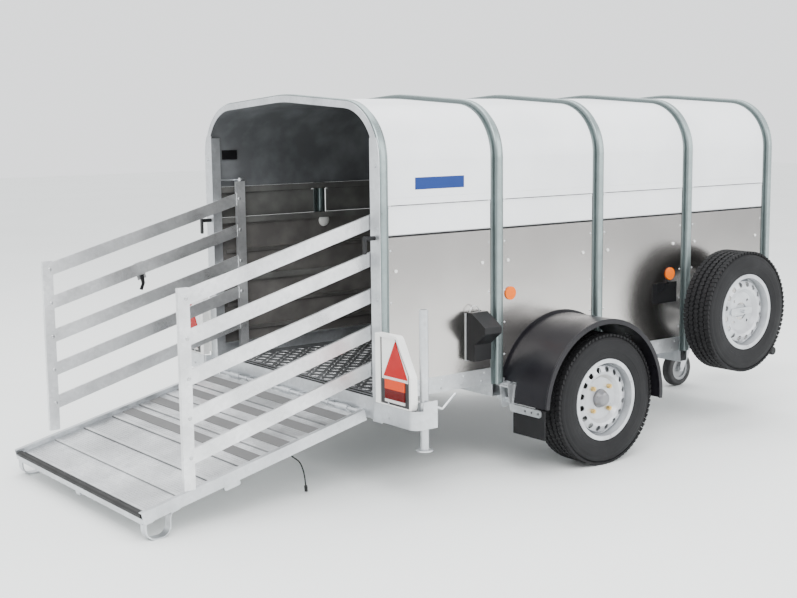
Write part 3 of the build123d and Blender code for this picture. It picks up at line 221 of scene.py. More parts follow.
def plastic(name, colour, rough=0.5, grain=420.0, specular=0.25):
    """Moulded plastic or rubber with a fine grain and patches of dust."""
    f = Finish(name, Specular_IOR_Level=specular)
    dust = f.noise(9.0, 5.0)
    dusty = tuple(c * 0.9 + 0.005 for c in colour)
    f.to("Base Color", f.mix(f.span(dust, 0.4, 0.75, 0.0, 0.5), colour, dusty))
    f.to("Roughness", f.span(dust, 0.3, 0.7, rough - 0.08, rough + 0.12))
    f.bump(f.noise(grain, 2.0), 0.0005, 0.4)
    return f


def sheet_with_shaded_inside(name, colour, lining, metallic=0.0, rough=0.32, stretch=(1, 1, 1), lining_rough=0.6):
    """A sheet that has one finish outside and a dark inside: painted shade inside the body, on the side
    panels partly the lining's own tone.
    """
    f = Finish(name)
    within = f.inside()
    cloud = f.noise(2.2, 3.0)
    grain = f.noise(160.0, 2.0, stretch)
    outer = f.mix(f.span(cloud, 0.35, 0.65), scaled(colour, 0.93), scaled(colour, 1.05))
    # Inside colour: painted shade, partly the lining's own tone on the side panels, varied by noise.
    shade_and_stain = f.mix(f.span(f.noise(7.0, 5.0), 0.4, 0.7), lining, scaled(lining, 1.7))
    f.to("Base Color", f.mix(within, outer, shade_and_stain))
    if metallic:
        f.to("Metallic", f.blend(within, metallic, 0.15))
    f.to("Roughness", f.math("ADD", f.blend(within, rough, lining_rough), f.math("MULTIPLY", grain, 0.08)))
    f.bump(f.math("ADD", f.math("MULTIPLY", cloud, 6.0), f.math("MULTIPLY", grain, 0.2)), 0.0012, 0.35)
    return f


def dress(finish, *nodes):
    """Gives CAD nodes their material."""
    for name in nodes:
        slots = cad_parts[name].data.materials
        slots.clear()
        slots.append(finish.material)


# ------------------------------------------------------------------ mesh kit
def at(x, y, z):
    """A point counted forwards from the rear frame."""
    return Vector((REAR + x, y, z))


def settle(name, mesh, finish, body, slot, replaces=(), smooth=False):
    """Links a finished mesh as a piece of the trailer."""
    if finish is not None:
        mesh.materials.clear()
        mesh.materials.append(finish.material)
    for face in mesh.polygons:
        face.use_smooth = smooth
    piece = bpy.data.objects.new(name, mesh)
    bpy.context.scene.collection.objects.link(piece)
    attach(piece, body)
    if replaces:
        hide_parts(*replaces)
    return piece


def to_mesh(bm, name):
    bmesh.ops.recalc_face_normals(bm, faces=bm.faces)
    mesh = bpy.data.meshes.new(name)
    bm.to_mesh(mesh)
    bm.free()
    return mesh


def add_box(bm, low, high, bevel=0.0):
    """A block with softened edges."""
    low, high = Vector(low), Vector(high)
    made = bmesh.ops.create_cube(bm, size=1.0)["verts"]
    bmesh.ops.scale(bm, vec=high - low, verts=made)
    bmesh.ops.translate(bm, vec=(low + high) / 2, verts=made)
    if bevel:
        edges = list({edge for vert in made for edge in vert.link_edges})
        bmesh.ops.bevel(bm, geom=edges, offset=bevel, segments=2, affect="EDGES", profile=0.6)


def add_loft(bm, rings, closed=False, caps=True):
    """Skins a list of rings of points."""
    rows = [[bm.verts.new(p) for p in ring] for ring in rings]
    pairs = list(zip(rows, rows[1:]))
    if closed:
        pairs.append((rows[-1], rows[0]))
    for a, b in pairs:
        for i in range(len(a)):
            j = (i + 1) % len(a)
            bm.faces.new((a[i], a[j], b[j], b[i]))
    if caps and not closed:
        bm.faces.new(rows[0])
        bm.faces.new(rows[-1])


def add_tube(bm, points, radius, sides=12):
    """A round bar along a list of points."""
    points = [Vector(p) for p in points]
    rings = []
    for i, p in enumerate(points):
        along = (points[min(i + 1, len(points) - 1)] - points[max(i - 1, 0)]).normalized()
        side = along.orthogonal() if not rings else (side - along * side.dot(along))
        side = side.normalized()
        up = along.cross(side)
        rings.append([p + radius * (cos(a) * side + sin(a) * up)
                      for a in (2 * pi * k / sides for k in range(sides))])
    add_loft(bm, rings)


def blocks(name, boxes, finish, body, slot, bevel=0.001, matrix=None, **more):
    """Several softened blocks as one piece."""
    bm = bmesh.new()
    for low, high in boxes:
        add_box(bm, low, high, bevel)
    if matrix is not None:
        bm.transform(matrix)
    return settle(name, to_mesh(bm, name), finish, body, slot, **more)


# ------------------------------------------------------------------ geometry nodes
def new_tree(name, sockets):
    tree = bpy.data.node_groups.new(name, "GeometryNodeTree")
    tree.interface.new_socket("Geometry", in_out="OUTPUT", socket_type="NodeSocketGeometry")
    for label, kind in sockets:
        tree.interface.new_socket(label, in_out="INPUT", socket_type=kind)
    tree.nodes.new("NodeGroupInput")
    tree.nodes.new("NodeGroupOutput")
    return tree


def add_node(tree, kind, inputs=(), **settings):
    node = tree.nodes.new(kind)
    for key, value in settings.items():
        setattr(node, key, value)
    for key, value in dict(inputs).items():
        if hasattr(value, "is_output"):
            tree.links.new(value, node.inputs[key])
        else:
            node.inputs[key].default_value = value
    return node


def close_tree(tree, geometry, material):
    """Every tree ends in real geometry with its material."""
    real = add_node(tree, "GeometryNodeRealizeInstances", {0: geometry})
    painted = add_node(tree, "GeometryNodeSetMaterial", {"Geometry": real.outputs[0], "Material": material})
    tree.links.new(painted.outputs[0], tree.nodes["Group Output"].inputs[0])
    return tree


def heads_tree():
    """Domed heads on a mesh's points, turned by the attributes facing and turn."""
    tree = new_tree("domed_heads", (("Geometry", "NodeSocketGeometry"), ("Size", "NodeSocketVector"),
                                    ("Segments", "NodeSocketInt"), ("Material", "NodeSocketMaterial")))
    given = tree.nodes["Group Input"].outputs
    dome = add_node(tree, "GeometryNodeMeshUVSphere",
                    {"Segments": given["Segments"], "Rings": 6, "Radius": 1.0})
    facing = add_node(tree, "GeometryNodeInputNamedAttribute", {"Name": "facing"}, data_type="FLOAT_VECTOR")
    turn = add_node(tree, "GeometryNodeInputNamedAttribute", {"Name": "turn"}, data_type="FLOAT")
    twist = add_node(tree, "ShaderNodeCombineXYZ", {"Z": turn.outputs["Attribute"]})
    turned = add_node(tree, "FunctionNodeAlignRotationToVector",
                      {"Rotation": twist.outputs[0], "Vector": facing.outputs["Attribute"]}, axis="Z")
    heads = add_node(tree, "GeometryNodeInstanceOnPoints",
                     {"Points": given["Geometry"], "Instance": dome.outputs["Mesh"],
                      "Rotation": turned.outputs[0], "Scale": given["Size"]})
    return close_tree(tree, heads.outputs[0], given["Material"])


def bars_tree():
    """A row of equal bars at a pitch along X."""
    tree = new_tree("row_of_bars", (("Count", "NodeSocketInt"), ("Pitch", "NodeSocketFloat"),
                                    ("Start", "NodeSocketVector"), ("Size", "NodeSocketVector"),
                                    ("Material", "NodeSocketMaterial")))
    given = tree.nodes["Group Input"].outputs
    step = add_node(tree, "ShaderNodeCombineXYZ", {"X": given["Pitch"]})
    line = add_node(tree, "GeometryNodeMeshLine", {"Count": given["Count"], "Start Location": given["Start"],
                                                   "Offset": step.outputs[0]})
    bar = add_node(tree, "GeometryNodeMeshCube", {"Size": given["Size"]})
    bars = add_node(tree, "GeometryNodeInstanceOnPoints", {"Points": line.outputs[0],
                                                           "Instance": bar.outputs["Mesh"]})
    return close_tree(tree, bars.outputs[0], given["Material"])


def tread_tree(rows):
    """Rows of blocks round a tyre that turns about Y: each row is (offset, width, skew, shift)."""
    tree = new_tree("tyre_tread", (("Count", "NodeSocketInt"), ("Radius", "NodeSocketFloat"),
                                   ("Depth", "NodeSocketFloat"), ("Centre", "NodeSocketVector"),
                                   ("Material", "NodeSocketMaterial")))
    given = tree.nodes["Group Input"].outputs
    joined = add_node(tree, "GeometryNodeJoinGeometry")
    index = add_node(tree, "GeometryNodeInputIndex")
    for offset, width, skew, shift in rows:
        line = add_node(tree, "GeometryNodeMeshLine", {"Count": given["Count"]})
        part = add_node(tree, "ShaderNodeMath", {0: index.outputs[0], 1: shift}, operation="ADD")
        share = add_node(tree, "ShaderNodeMath", {0: part.outputs[0], 1: given["Count"]}, operation="DIVIDE")
        angle = add_node(tree, "ShaderNodeMath", {0: share.outputs[0], 1: 2 * pi}, operation="MULTIPLY")
        spot = add_node(tree, "ShaderNodeCombineXYZ", {"Y": offset, "Z": given["Radius"]})
        round_it = add_node(tree, "ShaderNodeVectorRotate",
                            {"Vector": spot.outputs[0], "Angle": angle.outputs[0]},
                            rotation_type="Y_AXIS")
        placed = add_node(tree, "GeometryNodeSetPosition", {"Geometry": line.outputs[0],
                                                            "Position": round_it.outputs[0]})
        size = add_node(tree, "ShaderNodeCombineXYZ", {"X": 0.0193, "Y": width, "Z": given["Depth"]})
        block = add_node(tree, "GeometryNodeMeshCube", {"Size": size.outputs[0]})
        turned = add_node(tree, "GeometryNodeTransform", {"Geometry": block.outputs["Mesh"],
                                                          "Rotation": (0, 0, skew)})
        way = add_node(tree, "ShaderNodeCombineXYZ", {"Y": angle.outputs[0]})
        ring = add_node(tree, "GeometryNodeInstanceOnPoints", {"Points": placed.outputs[0],
                                                               "Instance": turned.outputs[0],
                                                               "Rotation": way.outputs[0]})
        tree.links.new(ring.outputs[0], joined.inputs[0])
    moved = add_node(tree, "GeometryNodeTransform",
                     {"Geometry": joined.outputs[0], "Translation": given["Centre"]})
    return close_tree(tree, moved.outputs[0], given["Material"])


def grown(tree, inputs, base=None):
    """The plain mesh that a tree makes from a base mesh and its inputs."""
    source = bpy.data.objects.new("seed", base or bpy.data.meshes.new("seed"))
    bpy.context.scene.collection.objects.link(source)
    modifier = source.modifiers.new("growth", "NODES")
    modifier.node_group = tree
    for item in tree.interface.items_tree:
        if item.in_out == "INPUT" and item.name in inputs:
            modifier[item.identifier] = inputs[item.name]
    source.update_tag()
    bpy.context.view_layer.update()
    made = bpy.data.meshes.new_from_object(source.evaluated_get(bpy.context.evaluated_depsgraph_get()))
    bpy.data.objects.remove(source)
    return made


def heads(name, places, size, finish, body, slot, segments=12):
    """A piece of domed heads: places are (point, facing) or (point, facing, turn)."""
    base = bpy.data.meshes.new(name + "_points")
    base.from_pydata([place[0] for place in places], [], [])
    base.attributes.new("facing", "FLOAT_VECTOR", "POINT")
    base.attributes.new("turn", "FLOAT", "POINT")
    base.attributes["facing"].data.foreach_set("vector", [c for place in places for c in place[1]])
    turns = [place[2] if len(place) > 2 else 0.0 for place in places]
    base.attributes["turn"].data.foreach_set("value", turns)
    tree = bpy.data.node_groups.get("domed_heads") or heads_tree()
    mesh = grown(tree, {"Size": size, "Segments": segments, "Material": finish.material}, base)
    return settle(name, mesh, finish, body, slot, smooth=True)


LEFT, RIGHT, UP, BACK = (0, 1, 0), (0, -1, 0), (0, 0, 1), (-1, 0, 0)


def both_sides(x, y, z):
    """The same head on the outside of the right and of the left side."""
    return [(at(x, -y, z), RIGHT), (at(x, y, z), LEFT)]


# ------------------------------------------------------------------ pieces
class PieceOperator(bpy.types.Operator):
    bl_options = {"REGISTER", "UNDO"}

    def execute(self, context):
        self.make()
        return {"FINISHED"}


class TRAILER_OT_shell(PieceOperator):
    """Roof, side panels, vent flaps and hoops."""
    bl_idname = "trailer.shell"
    bl_label = "Body shell"

    def make(self):
        c = colours()
        # The dark inside colours of roof, vent flaps and rails are painted shade inside the body.
        dress(sheet_with_shaded_inside("roof sheet", c.sheet, (0.10, 0.105, 0.11), rough=0.28), "roof_skin")
        dress(sheet_with_shaded_inside("white sheet", c.sheet, (0.09, 0.09, 0.085), rough=0.3), "vent_flaps_right",
              "vent_flaps_left", "body_rails")
        # The panels' dark inside is partly the lining's own tone and partly painted shade.
        panel = sheet_with_shaded_inside("satin panel", c.panel, c.lining, metallic=1.0, rough=0.15, stretch=(1, 1, 14))
        dress(panel, "body_panels")
        hoop = metal("hoop steel", c.hoop, rough=0.36, metallic=0.8)
        share = hoop.math("DIVIDE", hoop.math("SUBTRACT", hoop.axis("X"), REAR - BAY / 2), BAY)
        off = hoop.math("ABSOLUTE", hoop.math("SUBTRACT", hoop.math("FRACT", share), 0.5))
        # The hoop is darkened away from its middle band: painted shade on the round sides of the tube.
        edge = hoop.math("GREATER_THAN", off, 0.0138 / BAY)
        plain = hoop.shader.inputs["Base Color"].links[0].from_socket
        hoop.to("Base Color", hoop.mix(hoop.math("MULTIPLY", edge, 0.7), plain, scaled(c.hoop, 0.35)))
        dress(hoop, "roof_hoops")


class TRAILER_OT_shell_trim(PieceOperator):
    """Rivets, dark strips that paint the shadows in the gaps at the vent flaps, lining slats and a white
    tether boss on the body.
    """
    bl_idname = "trailer.shell_trim"
    bl_label = "Shell trim"

    def make(self):
        c = colours()
        zinc = metal("rivet zinc", scaled(c.galvanised, 1.1), rough=0.3)
        # Near-black for the vent strips, which paint gap shadows.
        black = plastic("vent gap shadow", (0.008, 0.008, 0.009))
        r = sizes().rivet
        places = []
        for k in range(BAYS):
            for edge in (0.045, BAY - 0.045):
                for z in (0.50, 0.64, 0.78, 0.99):
                    places += both_sides(k * BAY + edge, PANEL_Y, z)
            for part in range(5):
                places += both_sides(k * BAY + 0.07 + part * 0.118, PANEL_Y, 0.432)
        heads("panel_rivets", places, (r, r, 0.0022), zinc, "chassis", "galvanised")
        # The upper strips paint the shadow in the thin gap above each flap; the lower ones the dark gap below
        # each flap, partly a black rubber strip and partly painted shadow.
        gap_shadow_strips = []
        for k in range(BAYS):
            for side in (-1, 1):
                y = sorted((side * (PANEL_Y + 0.0002), side * (PANEL_Y + 0.0012)))
                gap_shadow_strips.append((at(k * BAY + 0.036, y[0], 1.0425), at((k + 1) * BAY - 0.036, y[1], 1.0505)))
                gap_shadow_strips.append((at(k * BAY + 0.05, y[0], 1.1676), at((k + 1) * BAY - 0.05, y[1], 1.1706)))
        blocks("vent_seals", gap_shadow_strips, black, "chassis", "black_rubber", bevel=0.0003)
        slats = []
        for z in (0.50, 0.62, 0.88):
            for side in (-1, 1):
                y = sorted((side * (PANEL_Y - 0.014), side * (PANEL_Y - 0.0035)))
                slats.append((at(0.06, y[0], z), at(BODY_LENGTH - 0.06, y[1], z + 0.018)))
        slat = metal("lining slat", (0.30, 0.29, 0.28), rough=0.5)
        blocks("lining_slats", slats, slat, "chassis", "gate_aluminium", bevel=0.002)
        boss = plastic("white boss", (0.75, 0.75, 0.72), rough=0.35)
        place = [(at(0.633, PANEL_Y - 0.006, 1.009), RIGHT)]
        heads("tether_boss", place, (0.032, 0.032, 0.012), boss, "chassis", "white_plastic", segments=32)


class TRAILER_OT_plates(PieceOperator):
    """The plain plates that are fixed to the body: none carries any lettering."""
    bl_idname = "trailer.plates"
    bl_label = "Blank plates"

    def make(self):
        blue = plastic("blank sticker", (0.004, 0.030, 0.17), rough=0.4)
        sticker = (at(0.173, -PANEL_Y - 0.0008, 1.229), at(0.432, -PANEL_Y - 0.0001, 1.278))
        blocks("blank_sticker", [sticker], blue, "chassis", "blue_film", bevel=0.0002)
        black = plastic("blank plate", (0.008, 0.008, 0.009), rough=0.3)
        plate = (at(1.600, -PANEL_Y - 0.0022, 0.625), at(1.772, -PANEL_Y - 0.0002, 0.722))
        blocks("blank_plate", [plate], black, "chassis", "black_plastic", bevel=0.0008)
        blocks("blank_label", [(at(0.052, PANEL_Y - 0.012, 1.328), at(0.134, PANEL_Y - 0.008, 1.372))], black,
               "chassis", "black_plastic", bevel=0.0018)


class TRAILER_OT_frame(PieceOperator):
    """Chassis, rear frame, springs and drawbar."""
    bl_idname = "trailer.frame"
    bl_label = "Galvanised frame"

    def make(self):
        c = colours()
        bright = metal("galvanised", c.galvanised)
        dress(bright, "chassis_frame", "drawbar", "rear_frame", "rear_arch", "side_brackets", "axle_beam",
              "spring_gear", "spare_carrier", "prop_stand", "stand_lever", "handbrake_lever",
              "jockey_outer_tube", "jockey_leg", "jockey_fork", "jockey_handle", "ramp_frame")
        cast = metal("cast coupling", (0.26, 0.27, 0.28), rough=0.5, spangle=160.0)
        dress(cast, "coupling_head")
        dress(plastic("black steel", (0.009, 0.009, 0.010), rough=0.4), "coupling_lever", "gate_latch_lever",
              "ramp_catch_right", "ramp_catch_left")
        r = sizes().rivet
        places = []
        for k in range(22):
            places += both_sides(0.08 + k * 0.111, PANEL_Y, 0.398)
        for z in (0.345, 0.405):
            places.append((at(-0.060, -0.78, z), BACK))
            places.append((at(-0.060, 0.78, z), BACK))
        rivet = metal("frame rivet", scaled(c.galvanised, 0.8), rough=0.35)
        heads("frame_rivets", places, (r, r, 0.002), rivet, "chassis", "galvanised")
        line = plastic("sill line", (0.015, 0.015, 0.015))
        lines = []
        for x in (-0.0095, 0.018):
            lines.append((at(x, -0.585, 0.3942), at(x + 0.010, 0.585, 0.3952)))
        blocks("sill_lines", lines, line, "chassis", "black_rubber", bevel=0.0002)


class TRAILER_OT_floor(PieceOperator):
    """Tread plate: crossed lozenges raised on the floor."""
    bl_idname = "trailer.floor"
    bl_label = "Tread floor"

    def make(self):
        dress(metal("tread plate", (0.20, 0.205, 0.21), rough=0.5, metallic=0.7), "floor_plate")
        bright = metal("tread lozenge", (0.80, 0.81, 0.82), rough=0.3)
        length = sizes().lozenge
        pitch = length * 2.25
        places = []
        columns = int(2.28 / pitch)
        rows = int(1.10 / pitch)
        for i in range(columns):
            for j in range(rows + 1):
                x = 0.075 + i * pitch
                y = (j - rows / 2) * pitch
                turn = pi / 4 if (i + j) % 2 else -pi / 4
                places.append((at(x, y, FLOOR_TOP), UP, turn))
        heads("floor_lozenges", places, (length, length * 0.34, 0.0026), bright, "chassis", "tread_aluminium",
              segments=12)


class TRAILER_OT_ramp(PieceOperator):
    """Ramp deck: cross planks with fine ribs, cleats and grip strips."""
    bl_idname = "trailer.ramp"
    bl_label = "Ramp deck"

    def make(self):
        silver = metal("deck aluminium", (0.74, 0.75, 0.76), rough=0.36, stretch=(14, 1, 1))
        lie = silver.math("MULTIPLY", silver.math("SUBTRACT", HINGE.x, silver.axis("X")), 1 / cos(RAMP_SLOPE))
        plank = silver.math("FRACT", silver.math("DIVIDE", silver.math("SUBTRACT", lie, DECK_START), PLANK))
        # Dark line at each plank joint: painted shade in the groove between planks.
        joint_shade = silver.math("MULTIPLY", silver.math("GREATER_THAN", plank, 0.982), 0.5)
        plain = silver.shader.inputs["Base Color"].links[0].from_socket
        silver.to("Base Color", silver.mix(joint_shade, plain, (0.06, 0.06, 0.062)))
        dress(silver, "ramp_deck")
        lay = Matrix.Translation(HINGE) @ Matrix.Rotation(-RAMP_SLOPE, 4, "Y")
        pitch = sizes().rib_pitch
        tree = bars_tree()
        half = 0.5800
        count = int(0.985 / pitch)
        mesh = grown(tree, {"Count": count, "Pitch": -pitch, "Start": (-0.024, 0, -0.0058),
                            "Size": (0.0034, 2 * half, 0.0022), "Material": silver.material})
        mesh.transform(lay)
        settle("deck_ribs", mesh, silver, "ramp", "gate_aluminium")
        grip = plastic("grip strip", (0.16, 0.16, 0.16), rough=0.85, grain=900.0)
        strips = []
        for k in range(4):
            x = -0.075 - k * 0.1411
            strips.append(((x - 0.026, -half, -0.0062), (x + 0.026, half, -0.0038)))
        blocks("grip_strips", strips, grip, "ramp", "black_rubber", bevel=0.0004, matrix=lay)
        dress(plastic("ramp rubber", (0.02, 0.02, 0.02), rough=0.6), "ramp_rubbers", "lead_connector")


class TRAILER_OT_gates(PieceOperator):
    """Aluminium gates with their rivet heads."""
    bl_idname = "trailer.gates"
    bl_label = "Side gates"

    def make(self):
        rail = metal("gate rail", (0.80, 0.81, 0.82), rough=0.33, stretch=(1, 1, 14))
        post = metal("gate post", (0.82, 0.83, 0.84), rough=0.36, stretch=(14, 14, 1))
        rivet = metal("gate rivet", (0.60, 0.61, 0.62), rough=0.3)
        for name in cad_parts:
            if name.startswith("gate_") and "rail" in name:
                dress(rail, name)
            elif name.startswith("gate_") and "post" in name:
                dress(post, name)
        r = sizes().stud
        slope = radians(15.3)
        pin_inset, outer_x = 0.009, -0.851
        top_rail, rail_step = 0.879, 0.148
        for side, hinge_x in (("right", 0.070), ("left", 0.120)):
            low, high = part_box(f"gate_{side}_outer_post")
            inner_x = hinge_x - pin_inset
            rise = (inner_x - outer_x) * sin(slope) / cos(slope)
            for body, x, lift in ((f"gate_{side}_post", inner_x, rise), (f"gate_{side}_outer", outer_x, 0.0)):
                places = []
                for k in range(5):
                    z = top_rail - k * rail_step + lift
                    places.append((at(x, low[1], z), RIGHT))
                    places.append((at(x, high[1], z), LEFT))
                heads(f"gate_{side}_rivets_{body[-5:].strip('_')}", places, (r, r, 0.0028), rivet, body,
                      "gate_aluminium")


class TRAILER_OT_tyres(PieceOperator):
    """Tyres with treads and stepped walls."""
    bl_idname = "trailer.tyres"
    bl_label = "Tyres"

    def make(self):
        rubber = plastic("tyre rubber", (0.010, 0.010, 0.011), rough=0.72, grain=300.0)
        rows = [(-0.060, 0.026, 0.30, 0.0), (-0.031, 0.022, -0.35, 0.5), (0.0, 0.022, 0.35, 0.0),
                (0.031, 0.022, -0.35, 0.5), (0.060, 0.026, 0.30, 0.0)]
        tree = tread_tree(rows)
        for name, body, centre in (("right", "wheel_right", WHEEL), ("left", "wheel_left", mirrored(WHEEL)),
                                   ("spare", "chassis", SPARE)):
            node = "spare_tyre" if name == "spare" else f"tyre_{name}"
            bm = bmesh.new()
            rings = []
            for k in range(128):
                a = 2 * pi * k / 128
                rings.append([centre + Vector((radius * sin(a), y, radius * cos(a)))
                              for y, radius in TYRE_PROFILE])
            add_loft(bm, rings, closed=True)
            bm.from_mesh(grown(tree, {"Count": sizes().tread_blocks, "Radius": 0.2832, "Depth": 0.0105,
                                      "Centre": centre, "Material": rubber.material}))
            settle(f"{name}_tyre_treaded", to_mesh(bm, name), rubber, body, "tyre_rubber", replaces=(node,))


TYRE_PROFILE = ((-0.054, 0.1664), (-0.074, 0.186), (-0.0785, 0.205), (-0.0795, 0.207), (-0.0795, 0.211),
                (-0.0810, 0.213), (-0.0820, 0.232), (-0.0810, 0.246), (-0.0775, 0.258), (-0.0770, 0.264),
                (-0.0730, 0.272), (-0.066, 0.2775), (-0.046, 0.2790), (0.046, 0.2790), (0.066, 0.2775),
                (0.0730, 0.272), (0.0770, 0.264), (0.0775, 0.258), (0.0810, 0.246), (0.0820, 0.232),
                (0.0810, 0.213), (0.0795, 0.211), (0.0795, 0.207), (0.0785, 0.205), (0.074, 0.186),
                (0.054, 0.1664), (0.042, 0.1664), (0.068, 0.215), (0.060, 0.262), (-0.060, 0.262),
                (-0.068, 0.215), (-0.042, 0.1664))


def mirrored(point):
    return Vector((point[0], -point[1], point[2]))


class TRAILER_OT_rims(PieceOperator):
    """Silver rims, gold nuts, dark drums and hub caps."""
    bl_idname = "trailer.rims"
    bl_label = "Rims and hubs"

    def make(self):
        for node, centre in (("rim_right", WHEEL), ("rim_left", mirrored(WHEEL)), ("spare_rim", SPARE)):
            f = Finish(f"{node} paint")
            r = f.radius(centre)
            out = f.math("ABSOLUTE", f.axis("Y"))
            nuts = f.math("MULTIPLY", f.between(r, 0.054, 0.0865), f.math("GREATER_THAN", out, 0.8845))
            cap = f.math("MULTIPLY", f.math("LESS_THAN", r, 0.0412), f.math("GREATER_THAN", out, 0.8802))
            drum = f.math("MULTIPLY", f.math("LESS_THAN", r, 0.109), f.math("LESS_THAN", out, 0.8798))
            cloud = f.noise(11.0, 4.0)
            tone = f.mix(f.span(cloud, 0.35, 0.65), (0.42, 0.43, 0.45), (0.56, 0.58, 0.60))
            tone = f.mix(drum, tone, (0.05, 0.048, 0.046))
            tone = f.mix(cap, tone, (0.20, 0.20, 0.21))
            tone = f.mix(nuts, tone, (0.62, 0.44, 0.16))
            f.to("Base Color", tone)
            f.to("Metallic", f.math("ADD", 0.35, f.math("MULTIPLY", nuts, 0.5)))
            f.to("Roughness", f.span(cloud, 0.3, 0.7, 0.26, 0.4))
            f.bump(f.noise(260.0), 0.0004, 0.25)
            dress(f, node)
        f = Finish("jockey wheel")
        middle = (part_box("jockey_wheel")[0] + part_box("jockey_wheel")[1]) / 2
        hub = f.math("LESS_THAN", f.radius(middle), 0.0620)
        f.to("Base Color", f.mix(hub, (0.016, 0.016, 0.017), (0.33, 0.34, 0.35)))
        f.to("Roughness", f.span(f.noise(30.0), 0.3, 0.7, 0.5, 0.72))
        f.bump(f.noise(300.0), 0.0005, 0.4)
        dress(f, "jockey_wheel")


class TRAILER_OT_guards(PieceOperator):
    """Mudguards, flaps and wheel chock."""
    bl_idname = "trailer.guards"
    bl_label = "Guards and chock"

    def make(self):
        black = plastic("guard plastic", (0.009, 0.0085, 0.011), rough=0.34, grain=260.0)
        dress(black, "mudguards")
        dress(plastic("flap rubber", (0.008, 0.008, 0.009), rough=0.6), "mudflaps")
        f = plastic("chock plastic", (0.007, 0.007, 0.008), rough=0.42)
        dress(f, "wheel_chock")
        for side in (-1, 1):
            bm = bmesh.new()
            path = []
            for k in range(49):
                a = radians(-5 + 182.5 * k / 48)
                path.append(at(ARCH_X + ARCH_R * cos(a), side * 0.9535, ARCH_Z + ARCH_R * sin(a)))
            add_tube(bm, path, 0.0042)
            name = "mudguard_bead_right" if side < 0 else "mudguard_bead_left"
            settle(name, to_mesh(bm, name), black, "chassis", "black_plastic", smooth=True)
        wire = metal("chock wire", (0.6, 0.61, 0.62), rough=0.3)
        bm = bmesh.new()
        ring = []
        for k in range(17):
            a = pi * k / 16
            ring.append(at(0.470 + 0.026 * cos(a), -0.686, 0.703 + 0.028 * sin(a)))
        add_tube(bm, ring, 0.0018, 8)
        settle("chock_ring", to_mesh(bm, "chock_ring"), wire, "chock", "black_plastic", smooth=True)


class TRAILER_OT_lamps(PieceOperator):
    """Rear lamps, side reflectors and marker lamps."""
    bl_idname = "trailer.lamps"
    bl_label = "Lamps"

    def make(self):
        f = Finish("lamp housing")
        y = f.math("ABSOLUTE", f.axis("Y"))
        z = f.axis("Z")
        x = f.axis("X")
        bezel = f.math("MULTIPLY", f.between(y, 0.7238, 0.9088), f.between(z, 0.4002, 0.6638))
        slope_line = f.math("ADD", f.math("MULTIPLY", f.math("SUBTRACT", y, 0.826), 1.614), z)
        bezel = f.math("MULTIPLY", bezel, f.math("LESS_THAN", slope_line, 0.6636))
        bezel = f.math("MULTIPLY", bezel, f.between(x, REAR - 0.0545, REAR - 0.0325))
        field = f.math("MULTIPLY", f.between(y, 0.7318, 0.8990), f.between(z, 0.4100, 0.6638))
        field = f.math("MULTIPLY", field, f.math("LESS_THAN", slope_line, 0.6470))
        field = f.math("MULTIPLY", field, f.math("GREATER_THAN", z, 0.4995))
        bezel = f.math("MULTIPLY", bezel, f.math("SUBTRACT", 1.0, field))
        f.to("Base Color", f.mix(bezel, (0.80, 0.80, 0.78), (0.015, 0.015, 0.016)))
        f.to("Roughness", f.span(f.noise(20.0), 0.3, 0.7, 0.28, 0.42))
        f.bump(f.noise(320.0), 0.0003, 0.3)
        dress(f, "lamp_housings")
        f = Finish("lamp lens", Specular_IOR_Level=0.2)
        z = f.axis("Z")
        tone = f.mix(f.math("GREATER_THAN", z, 0.4219), (0.62, 0.60, 0.58), (0.10, 0.001, 0.001))
        tone = f.mix(f.math("GREATER_THAN", z, 0.4619), tone, (0.62, 0.045, 0.001))
        tone = f.mix(f.math("GREATER_THAN", z, 0.505), tone, (0.40, 0.001, 0.002))
        f.to("Base Color", tone)
        prisms = {"Vector": f.place((220, 220, 220)), "Scale": 1.0}
        cells = f.node("ShaderNodeTexChecker", prisms).outputs["Fac"]
        f.to("Roughness", f.span(cells, 0.0, 1.0, 0.10, 0.2))
        f.bump(cells, 0.0008, 0.6)
        dress(f, "lamp_lenses")
        f = Finish("side markers", Specular_IOR_Level=0.2)
        front = f.math("GREATER_THAN", f.axis("X"), REAR + 2.0)
        f.to("Base Color", f.mix(front, tuple(colours().reflector), (0.012, 0.012, 0.013)))
        f.to("Roughness", f.span(f.noise(40.0), 0.3, 0.7, 0.15, 0.3))
        dress(f, "side_markers")
        white = plastic("turn button", (0.75, 0.75, 0.74), rough=0.35)
        dress(white, "body_studs")
        caps = []
        for side in (-1, 1):
            for y in (0.742, 0.892):
                caps.append((at(-0.0540, side * y, 0.5055), BACK))
        heads("lamp_screws", caps, (0.0045, 0.0045, 0.0018), metal("lamp screw", (0.6, 0.6, 0.6)), "chassis",
              "white_plastic")


class TRAILER_OT_lead(PieceOperator):
    """The short black lead that hangs under the ramp."""
    bl_idname = "trailer.lead"
    bl_label = "Ramp lead"

    def make(self):
        route = [at(*p) for p in ((-0.330, -0.450, 0.216), (-0.322, -0.450, 0.183), (-0.297, -0.450, 0.160),
                                  (-0.267, -0.450, 0.138), (-0.251, -0.450, 0.102), (-0.243, -0.450, 0.066),
                                  (-0.240, -0.450, 0.032))]
        curve = bpy.data.curves.new("ramp_lead_line", "CURVE")
        curve.dimensions = "3D"
        curve.bevel_depth = 0.003
        curve.bevel_resolution = 4
        curve.resolution_u = 16
        curve.use_fill_caps = True
        spline = curve.splines.new("NURBS")
        spline.points.add(len(route) - 1)
        for point, place in zip(spline.points, route):
            point.co = (*place, 1.0)
        spline.order_u = 3
        spline.use_endpoint_u = True
        lead = bpy.data.objects.new("hanging_lead", curve)
        bpy.context.scene.collection.objects.link(lead)
        curve.materials.append(plastic("lead rubber", (0.015, 0.015, 0.015), rough=0.45).material)
        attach(lead, "ramp")
        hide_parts("ramp_lead")


